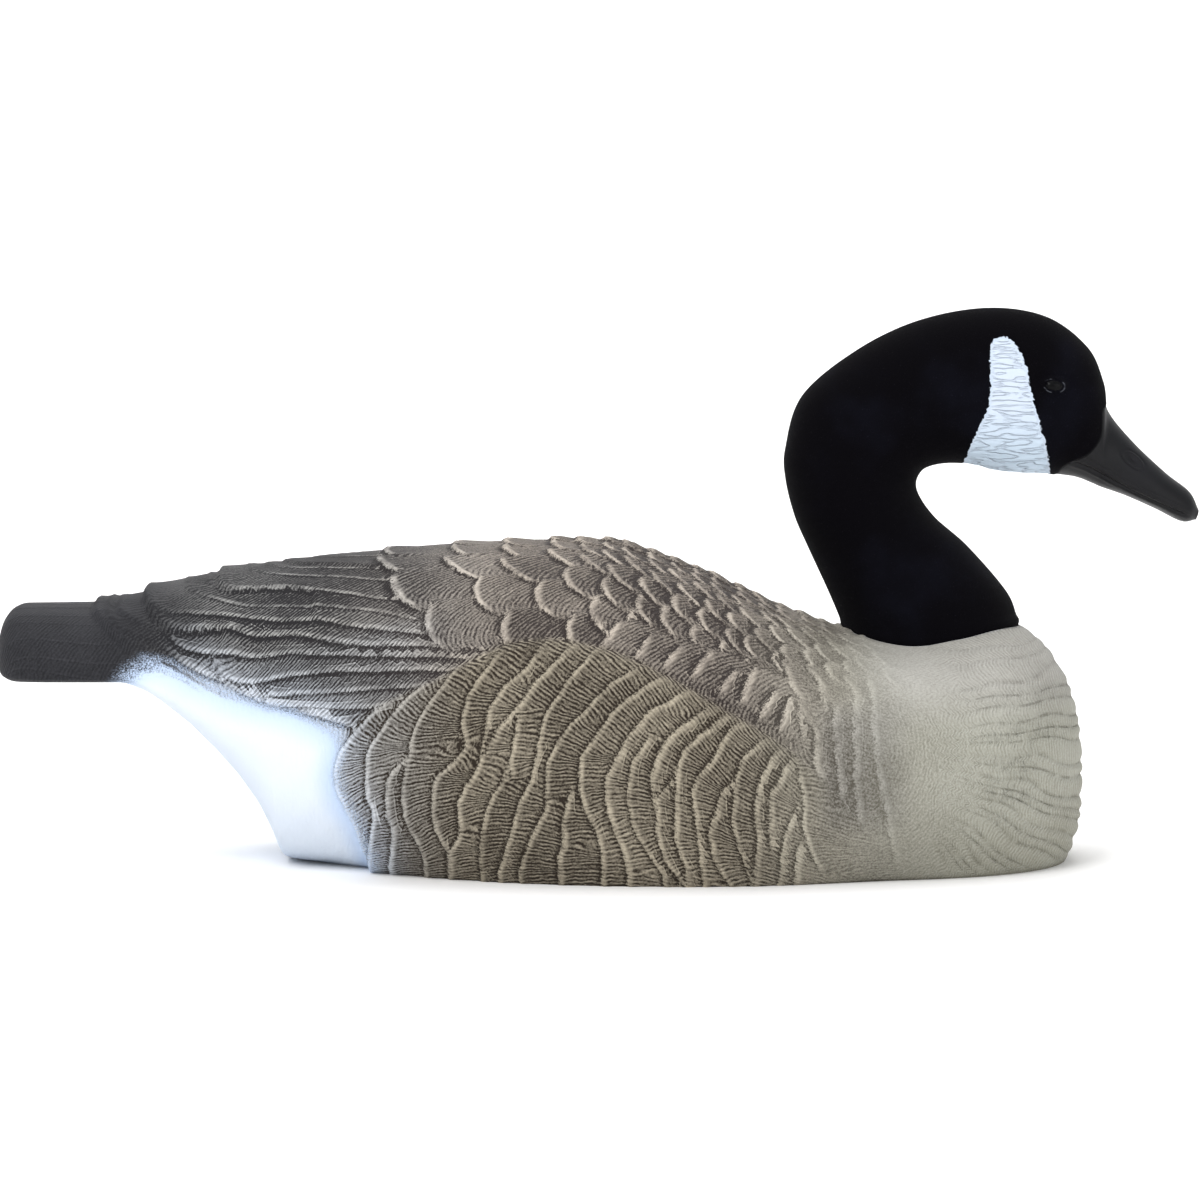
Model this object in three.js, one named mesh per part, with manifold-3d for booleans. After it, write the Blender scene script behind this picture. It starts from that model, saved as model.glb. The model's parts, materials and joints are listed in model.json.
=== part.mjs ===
// Life-size goose decoy: a feather-textured body with a flat underside, and a neck and
// head seated in its breast. Millimetres, +Z up, bill towards +X, standing on Z = 0.

import * as THREE from "three";
import { mergeVertices } from "three/addons/utils/BufferGeometryUtils.js";
import Module from "manifold-3d";

// Driving sizes of the body.
const bodyLength = 613; // end of the tail to the breast
const bodyWidth = 268; // across the flanks, under their feathers
const backHeight = 182.5; // ground to the top of the back
const tailWidth = 116;
const tailTopHeight = 144.5; // ground to the top of the tail
const tailThickness = 42; // arch of the tail, top to underside
const tailEndRound = 15; // rounding of the tail's end, seen from the side
const tailCornerRound = 40; // rounding of the tail's corners, seen from above
const breastHeight = 45; // height of the foremost point of the breast

// Driving sizes of the neck and head.
const headHeight = 180; // neck seat to crown
const seatLift = 2.6; // neck seat over the line of the back
const neckSetback = 85.3; // breast to the middle of the neck seat
const neckLength = 98.5; // fore and aft at the seat
const neckWidth = 86; // across at the seat
const headWidth = 64; // across the cheeks
const billWidth = 41; // across the root of the bill
const plugDepth = 17; // neck sunk below the seat
const seatGap = 0.3; // clearance between the neck and its pocket

// Driving sizes of the carving.
const flankPitch = 18; // one flank feather to the next
const flankRise = 1.9; // raised edge of a flank feather
const flankStep = 4; // flank feathers over the wing and the rump
const flankLean = 46; // top of a flank feather, ahead of its middle
const flankTuck = 14; // foot of a flank feather, ahead of its middle
const tipSweep = 26; // sides of the wing tips, ahead of their middle
const rumpSink = 2.6; // rump under the wing
const wingRise = 1.6; // ribs of the long wing feathers
const scaleRise = 1.6; // tips of the small back feathers
const tailRise = 0.8; // ribs of the tail feathers
const eyeLength = 13;
const eyeHeight = 8.5;
const eyeBulge = 2.2;
const mouthGroove = 1.6; // width of the line between the two halves of the bill
const nostrilLength = 11;
const nostrilHeight = 4.5;
const nostrilDepth = 1.6;

// Fineness of the faceted surface.
const edgeSpan = 3; // foot to raised edge of a feather row
const girthSteps = 25; // from the middle of the back to the middle of the keel
const tailRings = 6; // over the rounded end of the tail
const tailReach = 36;
const breastRings = 10; // over the rounded breast
const breastReach = 54;
const neckRings = 37;
const neckSides = 24;
const pocketShare = 0.16; // share of the neck's line that shapes its pocket
const pocketRings = 8;

const wasm = await Module();
wasm.setup();

const clamp01 = (value) => Math.min(1, Math.max(0, value));
const mix = (from, to, share) => from + (to - from) * share;
const ramp = (from, to, value) => THREE.MathUtils.smoothstep(value, from, to);

// A smooth line through a few points, level at each peak, so it never overshoots.
function lineThrough(points) {
  const slope = (i) => (points[i + 1][1] - points[i][1]) / (points[i + 1][0] - points[i][0]);
  const tangents = points.map((_, i) => {
    if (i === 0) return slope(0);
    if (i === points.length - 1) return slope(i - 1);
    const before = slope(i - 1);
    const after = slope(i);
    return before * after <= 0 ? 0 : (2 * before * after) / (before + after);
  });
  return (x) => {
    const at = THREE.MathUtils.clamp(x, points[0][0], points[points.length - 1][0]);
    const next = points.findIndex((point) => point[0] >= at);
    const i = Math.max(0, next - 1);
    const width = points[i + 1][0] - points[i][0];
    const t = (at - points[i][0]) / width;
    const rest = 1 - t;
    return (
      points[i][1] * rest * rest * (1 + 2 * t) +
      points[i + 1][1] * t * t * (3 - 2 * t) +
      width * t * rest * (tangents[i] * rest - tangents[i + 1] * t)
    );
  };
}

// Share of the full size at a distance from a rounded end, from 0 to 1.
function roundedEnd(distance, reach, power) {
  const share = clamp01(distance / reach);
  return (1 - (1 - share) ** power) ** (1 / power);
}

// Body outlines. The first number is a share of the body length from the tail, the second
// a share of the height of the back or of half the width.
const tailTop = tailTopHeight / backHeight;
const tailUnder = (tailTopHeight - tailThickness) / backHeight;
const backLine = lineThrough([
  [0, tailTop],
  [0.091, tailTop + 0.004],
  [0.135, 0.826],
  [0.202, 0.889],
  [0.245, 0.912],
  [0.336, 0.952],
  [0.411, 0.976],
  [0.504, 0.99],
  [0.555, 0.985],
  [0.636, 0.907],
  [0.726, 0.776],
  [0.781, 0.714],
  [0.832, 0.696],
  [0.881, 0.725],
  [0.945, 0.764],
  [1, 0.764],
]);
const keelLine = lineThrough([
  [0, tailUnder],
  [0.117, tailUnder],
  [0.137, tailUnder - 0.025],
  [0.158, 0.477],
  [0.195, 0.356],
  [0.232, 0.197],
  [0.25, 0.082],
  [0.257, 0.02],
  [0.263, -0.005],
  [0.318, -0.035],
  [0.374, -0.085],
  [0.43, -0.155],
  [0.485, -0.24],
  [0.56, -0.33],
  [0.638, -0.32],
  [0.744, -0.24],
  [0.82, -0.185],
  [1, -0.205],
]);
const girthLine = lineThrough([
  [0, tailUnder + 0.038],
  [0.112, tailUnder + 0.038],
  [0.16, 0.565],
  [0.2, 0.513],
  [0.25, 0.45],
  [0.32, 0.41],
  [0.45, 0.373],
  [0.6, 0.345],
  [0.75, 0.318],
  [0.9, 0.274],
  [1, breastHeight / backHeight],
]);
const tailShare = tailWidth / bodyWidth;
const widthLine = lineThrough([
  [0, tailShare],
  [0.114, tailShare],
  [0.147, 0.443],
  [0.188, 0.514],
  [0.245, 0.63],
  [0.342, 0.786],
  [0.44, 0.907],
  [0.555, 0.979],
  [0.62, 1],
  [1, 1],
]);
const roundBack = 2.2; // power of the curve over the back, 2 is an ellipse
const roundKeel = 2.2;
const roundTail = 3.4; // the flatter underside of the tail
const tailWidest = 0.62; // share of the tail's thickness down to its widest line

// The breast rounds off over these shares of the body length, seen from above, over the
// top and under the keel.
const breastRound = { plan: 0.38, top: 0.114, keel: 0.15 };

// Feather groups that end in a step on the back: where, how high and how far they fade.
const backSteps = [
  { at: 0.091, rise: 4.5, fade: 0.075 },
  { at: 0.136, rise: 4.5, fade: 0.08 },
  { at: 0.203, rise: 3.5, fade: 0.08 },
];
const stepSpan = 0.6; // half the length over which such a step rises

// Edge of the flank feathers and of the wing, as heights along the body.
const flankTop = lineThrough([
  [0.32, 0.2],
  [0.326, 0.4],
  [0.364, 0.537],
  [0.404, 0.647],
  [0.449, 0.712],
  [0.494, 0.74],
  [0.538, 0.734],
  [0.59, 0.679],
  [0.641, 0.564],
  [0.693, 0.433],
  [0.73, 0.362],
  [0.8, 0.26],
]);
const wingEdge = lineThrough([
  [0.12, 0.815],
  [0.147, 0.74],
  [0.176, 0.63],
  [0.217, 0.559],
  [0.251, 0.488],
  [0.287, 0.449],
  [0.328, 0.4],
]);

// Height of the feather groups' steps above the plain back.
function stepHeight(share) {
  return backSteps.reduce((sum, step) => {
    const along = (share - step.at) / step.fade;
    return along < 0 || along > 1 ? sum : sum + step.rise * (1 - along) ** 1.5;
  }, 0);
}

// Half section of the body at a distance from the tail: [across, height] for a share of a
// half turn, from the middle of the back to the middle of the keel.
function sectionPoint(x, turn) {
  const share = x / bodyLength;
  const front = (reach, power) => roundedEnd(bodyLength - x, reach * bodyLength, power);
  const tailEnd = roundedEnd(x, tailEndRound, 2.3);
  const tailMiddle = tailTopHeight - tailWidest * tailThickness;
  const top = mix(breastHeight, backLine(share) * backHeight, front(breastRound.top, 2.5));
  const keel = mix(breastHeight, keelLine(share) * backHeight, front(breastRound.keel, 2.5));
  const middle = girthLine(share) * backHeight;
  const halfPlan = (widthLine(share) * bodyWidth) / 2;
  const width = halfPlan * front(breastRound.plan, 2.3) * roundedEnd(x, tailCornerRound, 3);
  const power = turn < 0.5 ? roundBack : mix(roundTail, roundKeel, ramp(0.12, 0.25, share));
  const angle = turn * Math.PI;
  const across = width * Math.abs(Math.sin(angle)) ** (2 / power);
  const rise = Math.abs(Math.cos(angle)) ** (2 / power);
  const height = turn < 0.5 ? mix(middle, top, rise) : mix(middle, keel, rise);
  return [across, mix(tailMiddle, height, tailEnd)];
}

// Points evenly spaced along the half section, as shares of the half turn.
const sectionSamples = 96;
function evenTurns(x, count) {
  const lengths = [0];
  let last = sectionPoint(x, 0);
  for (let i = 1; i <= sectionSamples; i++) {
    const point = sectionPoint(x, i / sectionSamples);
    lengths.push(lengths[i - 1] + Math.hypot(point[0] - last[0], point[1] - last[1]));
    last = point;
  }
  const turns = [];
  let i = 0;
  for (let k = 0; k <= count; k++) {
    const target = (lengths[sectionSamples] * k) / count;
    while (i < sectionSamples - 1 && lengths[i + 1] < target) i++;
    const span = lengths[i + 1] - lengths[i];
    turns.push((i + (span > 0 ? (target - lengths[i]) / span : 0)) / sectionSamples);
  }
  return turns;
}

// How far the edges of the feathers lie ahead of their row at a share of the girth.
function featherLean(x, girth) {
  const share = x / bodyLength;
  const fade = ramp(0.2, 0.42, share) * (1 - ramp(0.7, 0.9, share));
  const upper = flankLean * (1 - ramp(0.34, 0.56, girth));
  const lower = flankTuck * ramp(0.5, 0.72, girth);
  const onTips = ramp(0.1, 0.137, share) * (1 - ramp(0.2, 0.34, share));
  return fade * (upper + lower) + onTips * tipSweep * ramp(0.1, 0.45, girth);
}

// Depth of the carving at a point of the plain body. The row of feathers and the column
// round the girth set its ribs and tips, and its place sets the feathers it belongs to.
function carving({ x, height, row, edge, column }) {
  const share = x / bodyLength;
  const level = height / backHeight;
  const tip = edge ? 1 : -0.4;
  const rib = column % 2 === 0 ? 1 : -0.5;
  const onFlank =
    ramp(-0.02, 0.03, flankTop(share) - level) * ramp(0.315, 0.33, share) * (1 - ramp(0.7, 0.86, share));
  const onWing = ramp(-0.01, 0.03, level - wingEdge(share)) * ramp(0.125, 0.15, share);
  const onTail = ramp(0.55, 0.62, level) * ramp(4, 16, x) * (1 - ramp(0.085, 0.12, share));
  const onRump = (1 - onWing) * (1 - onFlank) * ramp(0.12, 0.15, share) * (1 - ramp(0.33, 0.36, share));
  const longFeathers = onWing * (1 - ramp(0.36, 0.46, share)) * (1 - onFlank);
  const smallFeathers = ramp(0.36, 0.46, share) * (1 - ramp(0.74, 0.8, share)) * (1 - onFlank);
  const scale = (row + column) % 2 === 0 ? tip : 0;
  return (
    onFlank * (flankStep * ramp(0.315, 0.34, share) + flankRise * tip) -
    onRump * rumpSink +
    longFeathers * wingRise * rib +
    smallFeathers * scaleRise * scale +
    onTail * tailRise * rib
  );
}

// Ring places from the tail to the breast, closer where the ends are rounded. Along the
// body they come in pairs, the foot and the raised edge of each row of feathers.
function ringPlaces() {
  const places = [];
  for (let i = 1; i < tailRings; i++) {
    places.push({ x: tailReach * (i / tailRings) ** 2, row: 0, edge: false });
  }
  const rows = Math.round((bodyLength - tailReach - breastReach) / flankPitch);
  for (let row = 0; row < rows; row++) {
    const x = mix(tailReach, bodyLength - breastReach, row / rows);
    places.push({ x, row, edge: false }, { x: x + edgeSpan, row, edge: true });
  }
  for (let i = breastRings; i > 0; i--) {
    places.push({ x: bodyLength - breastReach * (i / breastRings) ** 2, row: rows, edge: false });
  }
  for (const step of backSteps) {
    for (const side of [-stepSpan, stepSpan]) {
      places.push({ x: step.at * bodyLength + side, row: 0, edge: false });
    }
  }
  return places.sort((a, b) => a.x - b.x);
}

// A closed skin over rings of points, with one point at each end.
function skin(rings, firstPoint, lastPoint) {
  const around = rings[0].length;
  const positions = [...firstPoint];
  for (const ring of rings) for (const point of ring) positions.push(...point);
  positions.push(...lastPoint);
  const last = positions.length / 3 - 1;
  const faces = [];
  for (let j = 0; j < around; j++) {
    const next = (j + 1) % around;
    faces.push(0, 1 + j, 1 + next);
    for (let i = 0; i + 1 < rings.length; i++) {
      const a = 1 + i * around + j;
      const b = 1 + i * around + next;
      faces.push(a, a + around, b, b, a + around, b + around);
    }
    const base = 1 + (rings.length - 1) * around;
    faces.push(base + j, last, base + next);
  }
  const geometry = new THREE.BufferGeometry();
  geometry.setAttribute("position", new THREE.Float32BufferAttribute(positions, 3));
  geometry.setIndex(faces);
  return geometry;
}

// A solid that can be joined and cut, from closed geometry.
function solidOf(geometry) {
  const bare = geometry.clone();
  bare.deleteAttribute("normal");
  bare.deleteAttribute("uv");
  const merged = mergeVertices(bare, 1e-4);
  const triVerts = Uint32Array.from(merged.index.array);
  const vertProperties = Float32Array.from(merged.attributes.position.array);
  return new wasm.Manifold(new wasm.Mesh({ numProp: 3, vertProperties, triVerts }));
}

function geometryOf(solid) {
  const mesh = solid.getMesh();
  const geometry = new THREE.BufferGeometry();
  geometry.setAttribute("position", new THREE.BufferAttribute(mesh.vertProperties, 3));
  geometry.setIndex(new THREE.BufferAttribute(mesh.triVerts, 1));
  geometry.computeVertexNormals();
  return geometry;
}

// The body before its underside is cut flat: plain rings, then carved along their normals.
function bodyGeometry() {
  const plain = ringPlaces().map((place) => {
    const turns = evenTurns(place.x, girthSteps);
    return turns.map((turn, column) => {
      const x = place.x + featherLean(place.x, column / girthSteps);
      const [across, height] = sectionPoint(x, turn);
      const lift = stepHeight(place.x / bodyLength) * Math.max(0, Math.cos(turn * Math.PI)) ** 0.6;
      return { x, across, height: height + lift, row: place.row, edge: place.edge, column };
    });
  });
  const vectorAt = (i, j) => {
    const point = plain[THREE.MathUtils.clamp(i, 0, plain.length - 1)][Math.abs(j)];
    return new THREE.Vector3(point.x, j < 0 ? -point.across : point.across, point.height);
  };
  const rings = plain.map((half, i) => {
    const carved = half.map((point, j) => {
      const along = vectorAt(i + 1, j).sub(vectorAt(i - 1, j));
      const round = j < girthSteps ? vectorAt(i, j + 1).sub(vectorAt(i, j - 1)) : new THREE.Vector3(0, -1, 0);
      const normal = new THREE.Vector3().crossVectors(along, round).normalize();
      return vectorAt(i, j).addScaledVector(normal, carving(point));
    });
    const near = carved.slice(1, -1).reverse();
    return [
      ...carved.map((point) => [point.x, point.y, point.z]),
      ...near.map((point) => [point.x, -point.y, point.z]),
    ];
  });
  const tailPoint = sectionPoint(0, 0);
  const breastPoint = sectionPoint(bodyLength, 0);
  return skin(rings, [0, 0, tailPoint[1]], [bodyLength, 0, breastPoint[1]]);
}

// Neck, head and bill: the line over the back of the neck, the crown and the top of the
// bill, then the line down the throat, the chin and the underside of the bill, then half
// the width and where along the section it is widest. All are shares: lengths of the
// head height, widths of their own driving width.
const neckHalf = neckLength / 2 / headHeight;
const headForm = [
  [-neckHalf, -0.011, neckHalf, 0.022, neckWidth, 0.5, 0.5],
  [-0.325, 0.109, 0.237, 0.109, neckWidth, 0.47, 0.5],
  [-0.391, 0.251, 0.114, 0.251, neckWidth, 0.43, 0.5],
  [-0.432, 0.346, 0.007, 0.346, neckWidth, 0.405, 0.5],
  [-0.461, 0.461, -0.047, 0.43, neckWidth, 0.385, 0.5],
  [-0.462, 0.56, -0.034, 0.485, neckWidth, 0.372, 0.5],
  [-0.409, 0.725, 0.014, 0.507, headWidth, 0.49, 0.5],
  [-0.239, 0.867, 0.085, 0.511, headWidth, 0.485, 0.52],
  [-0.043, 0.961, 0.152, 0.499, headWidth, 0.49, 0.56],
  [0.174, 1, 0.234, 0.482, headWidth, 0.5, 0.58],
  [0.357, 0.972, 0.346, 0.478, headWidth, 0.49, 0.58],
  [0.485, 0.878, 0.446, 0.467, headWidth, 0.44, 0.58],
  [0.535, 0.772, 0.502, 0.447, headWidth, 0.37, 0.6],
  [0.552, 0.683, 0.535, 0.433, billWidth, 0.5, 0.64],
  [0.629, 0.586, 0.613, 0.4056, billWidth, 0.46, 0.66],
  [0.735, 0.486, 0.707, 0.364, billWidth, 0.42, 0.66],
  [0.8125, 0.425, 0.785, 0.326, billWidth, 0.32, 0.6],
  [0.843, 0.367, 0.831, 0.3306, billWidth, 0.14, 0.5],
];
const topCurve = new THREE.CatmullRomCurve3(
  headForm.map((row) => new THREE.Vector3(row[0], 0, row[1]).multiplyScalar(headHeight)),
  false, "catmullrom", 0.5,
);
const underCurve = new THREE.CatmullRomCurve3(
  headForm.map((row) => new THREE.Vector3(row[2], 0, row[3]).multiplyScalar(headHeight)),
  false, "catmullrom", 0.5,
);
const widthCurve = new THREE.CatmullRomCurve3(
  headForm.map((row) => new THREE.Vector3(row[4] * row[5], row[6], 0)),
  false, "catmullrom", 0.5,
);

// A point on the neck or head, for a share of its length and a share of a half turn from
// its back or top to its throat or underside. A grown one stands out by the clearance.
function headPoint(along, turn, grown = 0) {
  const top = topCurve.getPoint(along);
  const under = underCurve.getPoint(along);
  const { x: half, y: widest } = widthCurve.getPoint(along);
  const onBill = ramp(0.72, 0.82, along);
  const power = turn < 0.5 ? mix(2.15, 1.9, onBill) : mix(2.15, 2.6, onBill);
  const angle = turn * Math.PI;
  const rise = Math.abs(Math.cos(angle)) ** (2 / power);
  const share = turn < 0.5 ? widest * (1 - rise) : widest + (1 - widest) * rise;
  const span = top.distanceTo(under);
  const grownShare = mix(-grown / span, 1 + grown / span, share);
  const across = (half + grown) * Math.abs(Math.sin(angle)) ** (2 / power);
  const point = top.clone().lerp(under, grownShare);
  point.y = across;
  return point;
}

// One closed ring round the neck or head.
function headRing(along, grown = 0, drop = 0) {
  const sides = neckSides / 2;
  const half = [];
  for (let j = 0; j <= sides; j++) {
    const point = headPoint(along, j / sides, grown);
    half.push([point.x, point.y, point.z - drop]);
  }
  const near = half.slice(1, -1).reverse();
  return [...half, ...near.map(([x, y, z]) => [x, -y, z])];
}

// Middle of the neck seat, on the line of the back.
const seatX = bodyLength - neckSetback;
const seat = new THREE.Vector3(seatX, 0, backLine(seatX / bodyLength) * backHeight + seatLift);

// Neck from the bottom of its plug up to a share of its length.
function neckGeometry(lastShare, rings, grown) {
  const all = [headRing(0, grown, plugDepth + grown), headRing(0, grown)];
  for (let i = 1; i <= rings; i++) all.push(headRing((lastShare * i) / rings, grown));
  const middle = (along, drop) => {
    const point = headPoint(along, 0).lerp(headPoint(along, 1), 0.5);
    return [point.x, 0, point.z - drop];
  };
  const geometry = skin(all, middle(0, plugDepth + grown), middle(lastShare, 0));
  return geometry.translate(seat.x, seat.y, seat.z);
}

// A ball stretched to three sizes and turned about the cross axis.
function ball(centre, length, depth, height, turn) {
  const geometry = new THREE.SphereGeometry(0.5, 12, 8);
  geometry.scale(length, depth, height);
  geometry.rotateY(turn);
  return solidOf(geometry.translate(centre.x, centre.y, centre.z));
}

// Places on the head: share of the length, share of the half turn.
const eyePlace = { along: 0.598, turn: 0.42, tilt: 0.1 };
const nostrilPlace = { along: 0.826, turn: 0.3, tilt: 0.66 };
const mouthLine = [
  { along: 0.675, turn: 0.71 },
  { along: 0.735, turn: 0.66 },
  { along: 0.8, turn: 0.61 },
  { along: 0.88, turn: 0.56 },
  { along: 0.955, turn: 0.54 },
];

function headSolid() {
  let head = solidOf(neckGeometry(1, neckRings, 0));
  for (const side of [-1, 1]) {
    const onSide = (place, sink) => {
      const point = headPoint(place.along, place.turn).add(seat);
      return new THREE.Vector3(point.x, side * (point.y - sink), point.z);
    };
    const eye = ball(onSide(eyePlace, eyeBulge), eyeLength, 4 * eyeBulge, eyeHeight, eyePlace.tilt);
    head = head.add(eye);
    const nostril = ball(
      onSide(nostrilPlace, -nostrilDepth), nostrilLength, 4 * nostrilDepth, nostrilHeight, nostrilPlace.tilt,
    );
    head = head.subtract(nostril);
    const mouth = new THREE.CatmullRomCurve3(
      mouthLine.map(({ along, turn }) => {
        const point = headPoint(along, turn).add(seat);
        return new THREE.Vector3(point.x, side * point.y, point.z);
      }),
    );
    const bead = new THREE.Shape().absarc(0, 0, mouthGroove / 2, 0, 2 * Math.PI);
    const groove = new THREE.ExtrudeGeometry(bead, { steps: 9, curveSegments: 2, extrudePath: mouth });
    head = head.subtract(solidOf(groove));
  }
  return head;
}

function bodySolid() {
  const below = backHeight;
  const ground = new THREE.BoxGeometry(2 * bodyLength, 2 * bodyWidth, below);
  ground.translate(bodyLength / 2, 0, -below / 2);
  const pocket = solidOf(neckGeometry(pocketShare, pocketRings, seatGap));
  return solidOf(bodyGeometry()).subtract(solidOf(ground)).subtract(pocket);
}

const feathered = new THREE.MeshStandardMaterial({ color: 0x776c62, roughness: 0.75, metalness: 0 });
feathered.name = "feathered_plastic";
const flocked = new THREE.MeshStandardMaterial({ color: 0x0e0d10, roughness: 1, metalness: 0 });
flocked.name = "black_flock";

const body = new THREE.Mesh(geometryOf(bodySolid()), feathered);
body.name = "body";
const head = new THREE.Mesh(geometryOf(headSolid()), flocked);
head.name = "head";

// The middle of the whole decoy stands on the origin.
const decoy = new THREE.Group();
decoy.name = "goose_decoy";
decoy.add(body, head);
const extent = new THREE.Box3().setFromObject(decoy);
decoy.position.x = -(extent.min.x + extent.max.x) / 2;

export default decoy;
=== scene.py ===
"""A life-size goose decoy, dressed for its portrait.

The body is one moulded piece whose plumage is carved feather by feather and then painted.
The neck and head are a second piece, flocked black, with a white cheek and a bare bill.
Metres throughout, +Z up, bill towards +X, standing on Z = 0.
"""

import json
import logging
import math
import random
from dataclasses import dataclass, field
from enum import Enum
from typing import ClassVar

import bmesh
import bpy
import numpy as np
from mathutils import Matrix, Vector

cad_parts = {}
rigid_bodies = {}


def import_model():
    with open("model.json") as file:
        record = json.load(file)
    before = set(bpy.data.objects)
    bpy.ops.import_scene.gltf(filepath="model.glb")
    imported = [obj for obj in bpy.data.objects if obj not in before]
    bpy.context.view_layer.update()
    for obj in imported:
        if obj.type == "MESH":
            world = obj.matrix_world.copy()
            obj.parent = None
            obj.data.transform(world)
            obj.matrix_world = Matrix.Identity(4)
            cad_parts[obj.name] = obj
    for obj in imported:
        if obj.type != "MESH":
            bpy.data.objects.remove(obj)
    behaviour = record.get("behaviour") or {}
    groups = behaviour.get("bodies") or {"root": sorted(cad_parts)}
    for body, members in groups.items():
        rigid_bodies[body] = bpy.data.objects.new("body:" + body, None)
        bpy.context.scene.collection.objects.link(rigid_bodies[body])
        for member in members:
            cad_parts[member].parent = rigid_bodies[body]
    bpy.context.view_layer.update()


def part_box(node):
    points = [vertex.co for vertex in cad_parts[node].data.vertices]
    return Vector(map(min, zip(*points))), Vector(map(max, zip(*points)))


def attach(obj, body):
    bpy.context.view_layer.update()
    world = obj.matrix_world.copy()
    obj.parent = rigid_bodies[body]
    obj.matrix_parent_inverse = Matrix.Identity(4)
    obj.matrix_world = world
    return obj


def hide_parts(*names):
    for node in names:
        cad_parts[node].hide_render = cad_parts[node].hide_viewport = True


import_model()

Array = np.ndarray
Mesh = bpy.types.Mesh
Piece = bpy.types.Object
Shape = bmesh.types.BMesh
Tree = bpy.types.NodeTree
Pair = tuple[float, float]
Colour = tuple[float, float, float]
Limits = tuple[float, float, float, float]
LOG = logging.getLogger("goose_decoy")
MM = 0.001
MERGE = 2e-5  # vertices closer than this become one
EVERYWHERE: Limits = (-9.0, -8.0, 8.0, 9.0)


# Plain helpers on numbers and arrays.


def ramp(low: float, high: float, value: Array | float) -> Array:
    """Smooth step from 0 at low to 1 at high."""
    t = np.clip((value - low) / (high - low), 0.0, 1.0)
    return t * t * (3.0 - 2.0 * t)


def mix(first: Array, second: Array, share: Array) -> Array:
    """Blend of two values."""
    return first + (second - first) * share


def window(value: Array, start: float, full: float, fade: float, end: float) -> Array:
    """Rises smoothly from start to full, and falls again from fade to end."""
    return ramp(start, full, value) * (1 - ramp(fade, end, value))


def rising(start: float, full: float) -> Limits:
    """Limits of a window that rises and then stays open."""
    return (start, full, *EVERYWHERE[2:])


def falling(fade: float, end: float) -> Limits:
    """Limits of a window that is open up to a place and then closes."""
    return (*EVERYWHERE[:2], fade, end)


def bell(value: Array, middle: Array, width: float) -> Array:
    """A soft hump, 1 at its middle."""
    return np.exp(-(((value - middle) / width) ** 2))


def rounded_end(distance: Array, reach: float, power: float) -> Array:
    """Share of the full size at a distance from a rounded end, from 0 to 1."""
    share = np.clip(distance / reach, 0.0, 1.0)
    return (1.0 - (1.0 - share) ** power) ** (1.0 / power)


def paint(red: int, green: int, blue: int) -> Colour:
    """Linear colour of a paint given as it shows on a screen, 0 to 255.

    Args:
        red: Red, from 0 to 255.
        green: Green.
        blue: Blue.

    Returns:
        The colour.
    """
    return tuple(
        c / 12.92 if c <= 0.04045 else ((c + 0.055) / 1.055) ** 2.4
        for c in (red / 255, green / 255, blue / 255)
    )


class Profile:
    """A smooth line through a few points, level at each peak, so it never overshoots."""

    def __init__(self, *points: Pair) -> None:
        """Keeps the points and works out the slope at each.

        Args:
            points: Pairs of place and value, in order of place.
        """
        self.at = np.array([p[0] for p in points], float)
        self.value = np.array([p[1] for p in points], float)
        slope = np.diff(self.value) / np.diff(self.at)
        before, after = slope[:-1], slope[1:]
        product = before * after
        total = np.where(before + after == 0.0, 1.0, before + after)
        inner = np.where(product > 0.0, 2.0 * product / total, 0.0)
        self.tangent = np.concatenate([slope[:1], inner, slope[-1:]])

    def __call__(self, place: Array | float) -> Array:
        """Value of the line at a place, held level past both ends.

        Args:
            place: The place or places.

        Returns:
            The value at each.
        """
        x = np.clip(place, self.at[0], self.at[-1])
        i = np.clip(np.searchsorted(self.at, x, side="left") - 1, 0, len(self.at) - 2)
        width = self.at[i + 1] - self.at[i]
        t = (x - self.at[i]) / width
        rest = 1.0 - t
        return (
            self.value[i] * rest * rest * (1.0 + 2.0 * t)
            + self.value[i + 1] * t * t * (3.0 - 2.0 * t)
            + width * t * rest * (self.tangent[i] * rest - self.tangent[i + 1] * t)
        )


def spline(points: Array, share: Array) -> Array:
    """Points on an even Catmull-Rom curve.

    Args:
        points: Control points, one per row.
        share: Where along the curve, from 0 to 1.

    Returns:
        One row for each share.
    """
    padded = np.vstack([2 * points[0] - points[1], points, 2 * points[-1] - points[-2]])
    place = np.clip(share, 0.0, 1.0) * (len(points) - 1)
    i = np.clip(place.astype(int), 0, len(points) - 2)
    t = (place - i)[..., None]
    p0, p1, p2, p3 = (padded[i + k] for k in range(4))
    m1, m2 = (p2 - p0) / 2, (p3 - p1) / 2
    cubic, square = 2 * p1 - 2 * p2 + m1 + m2, -3 * p1 + 3 * p2 - 2 * m1 - m2
    return cubic * t**3 + square * t**2 + m1 * t + p1


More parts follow.
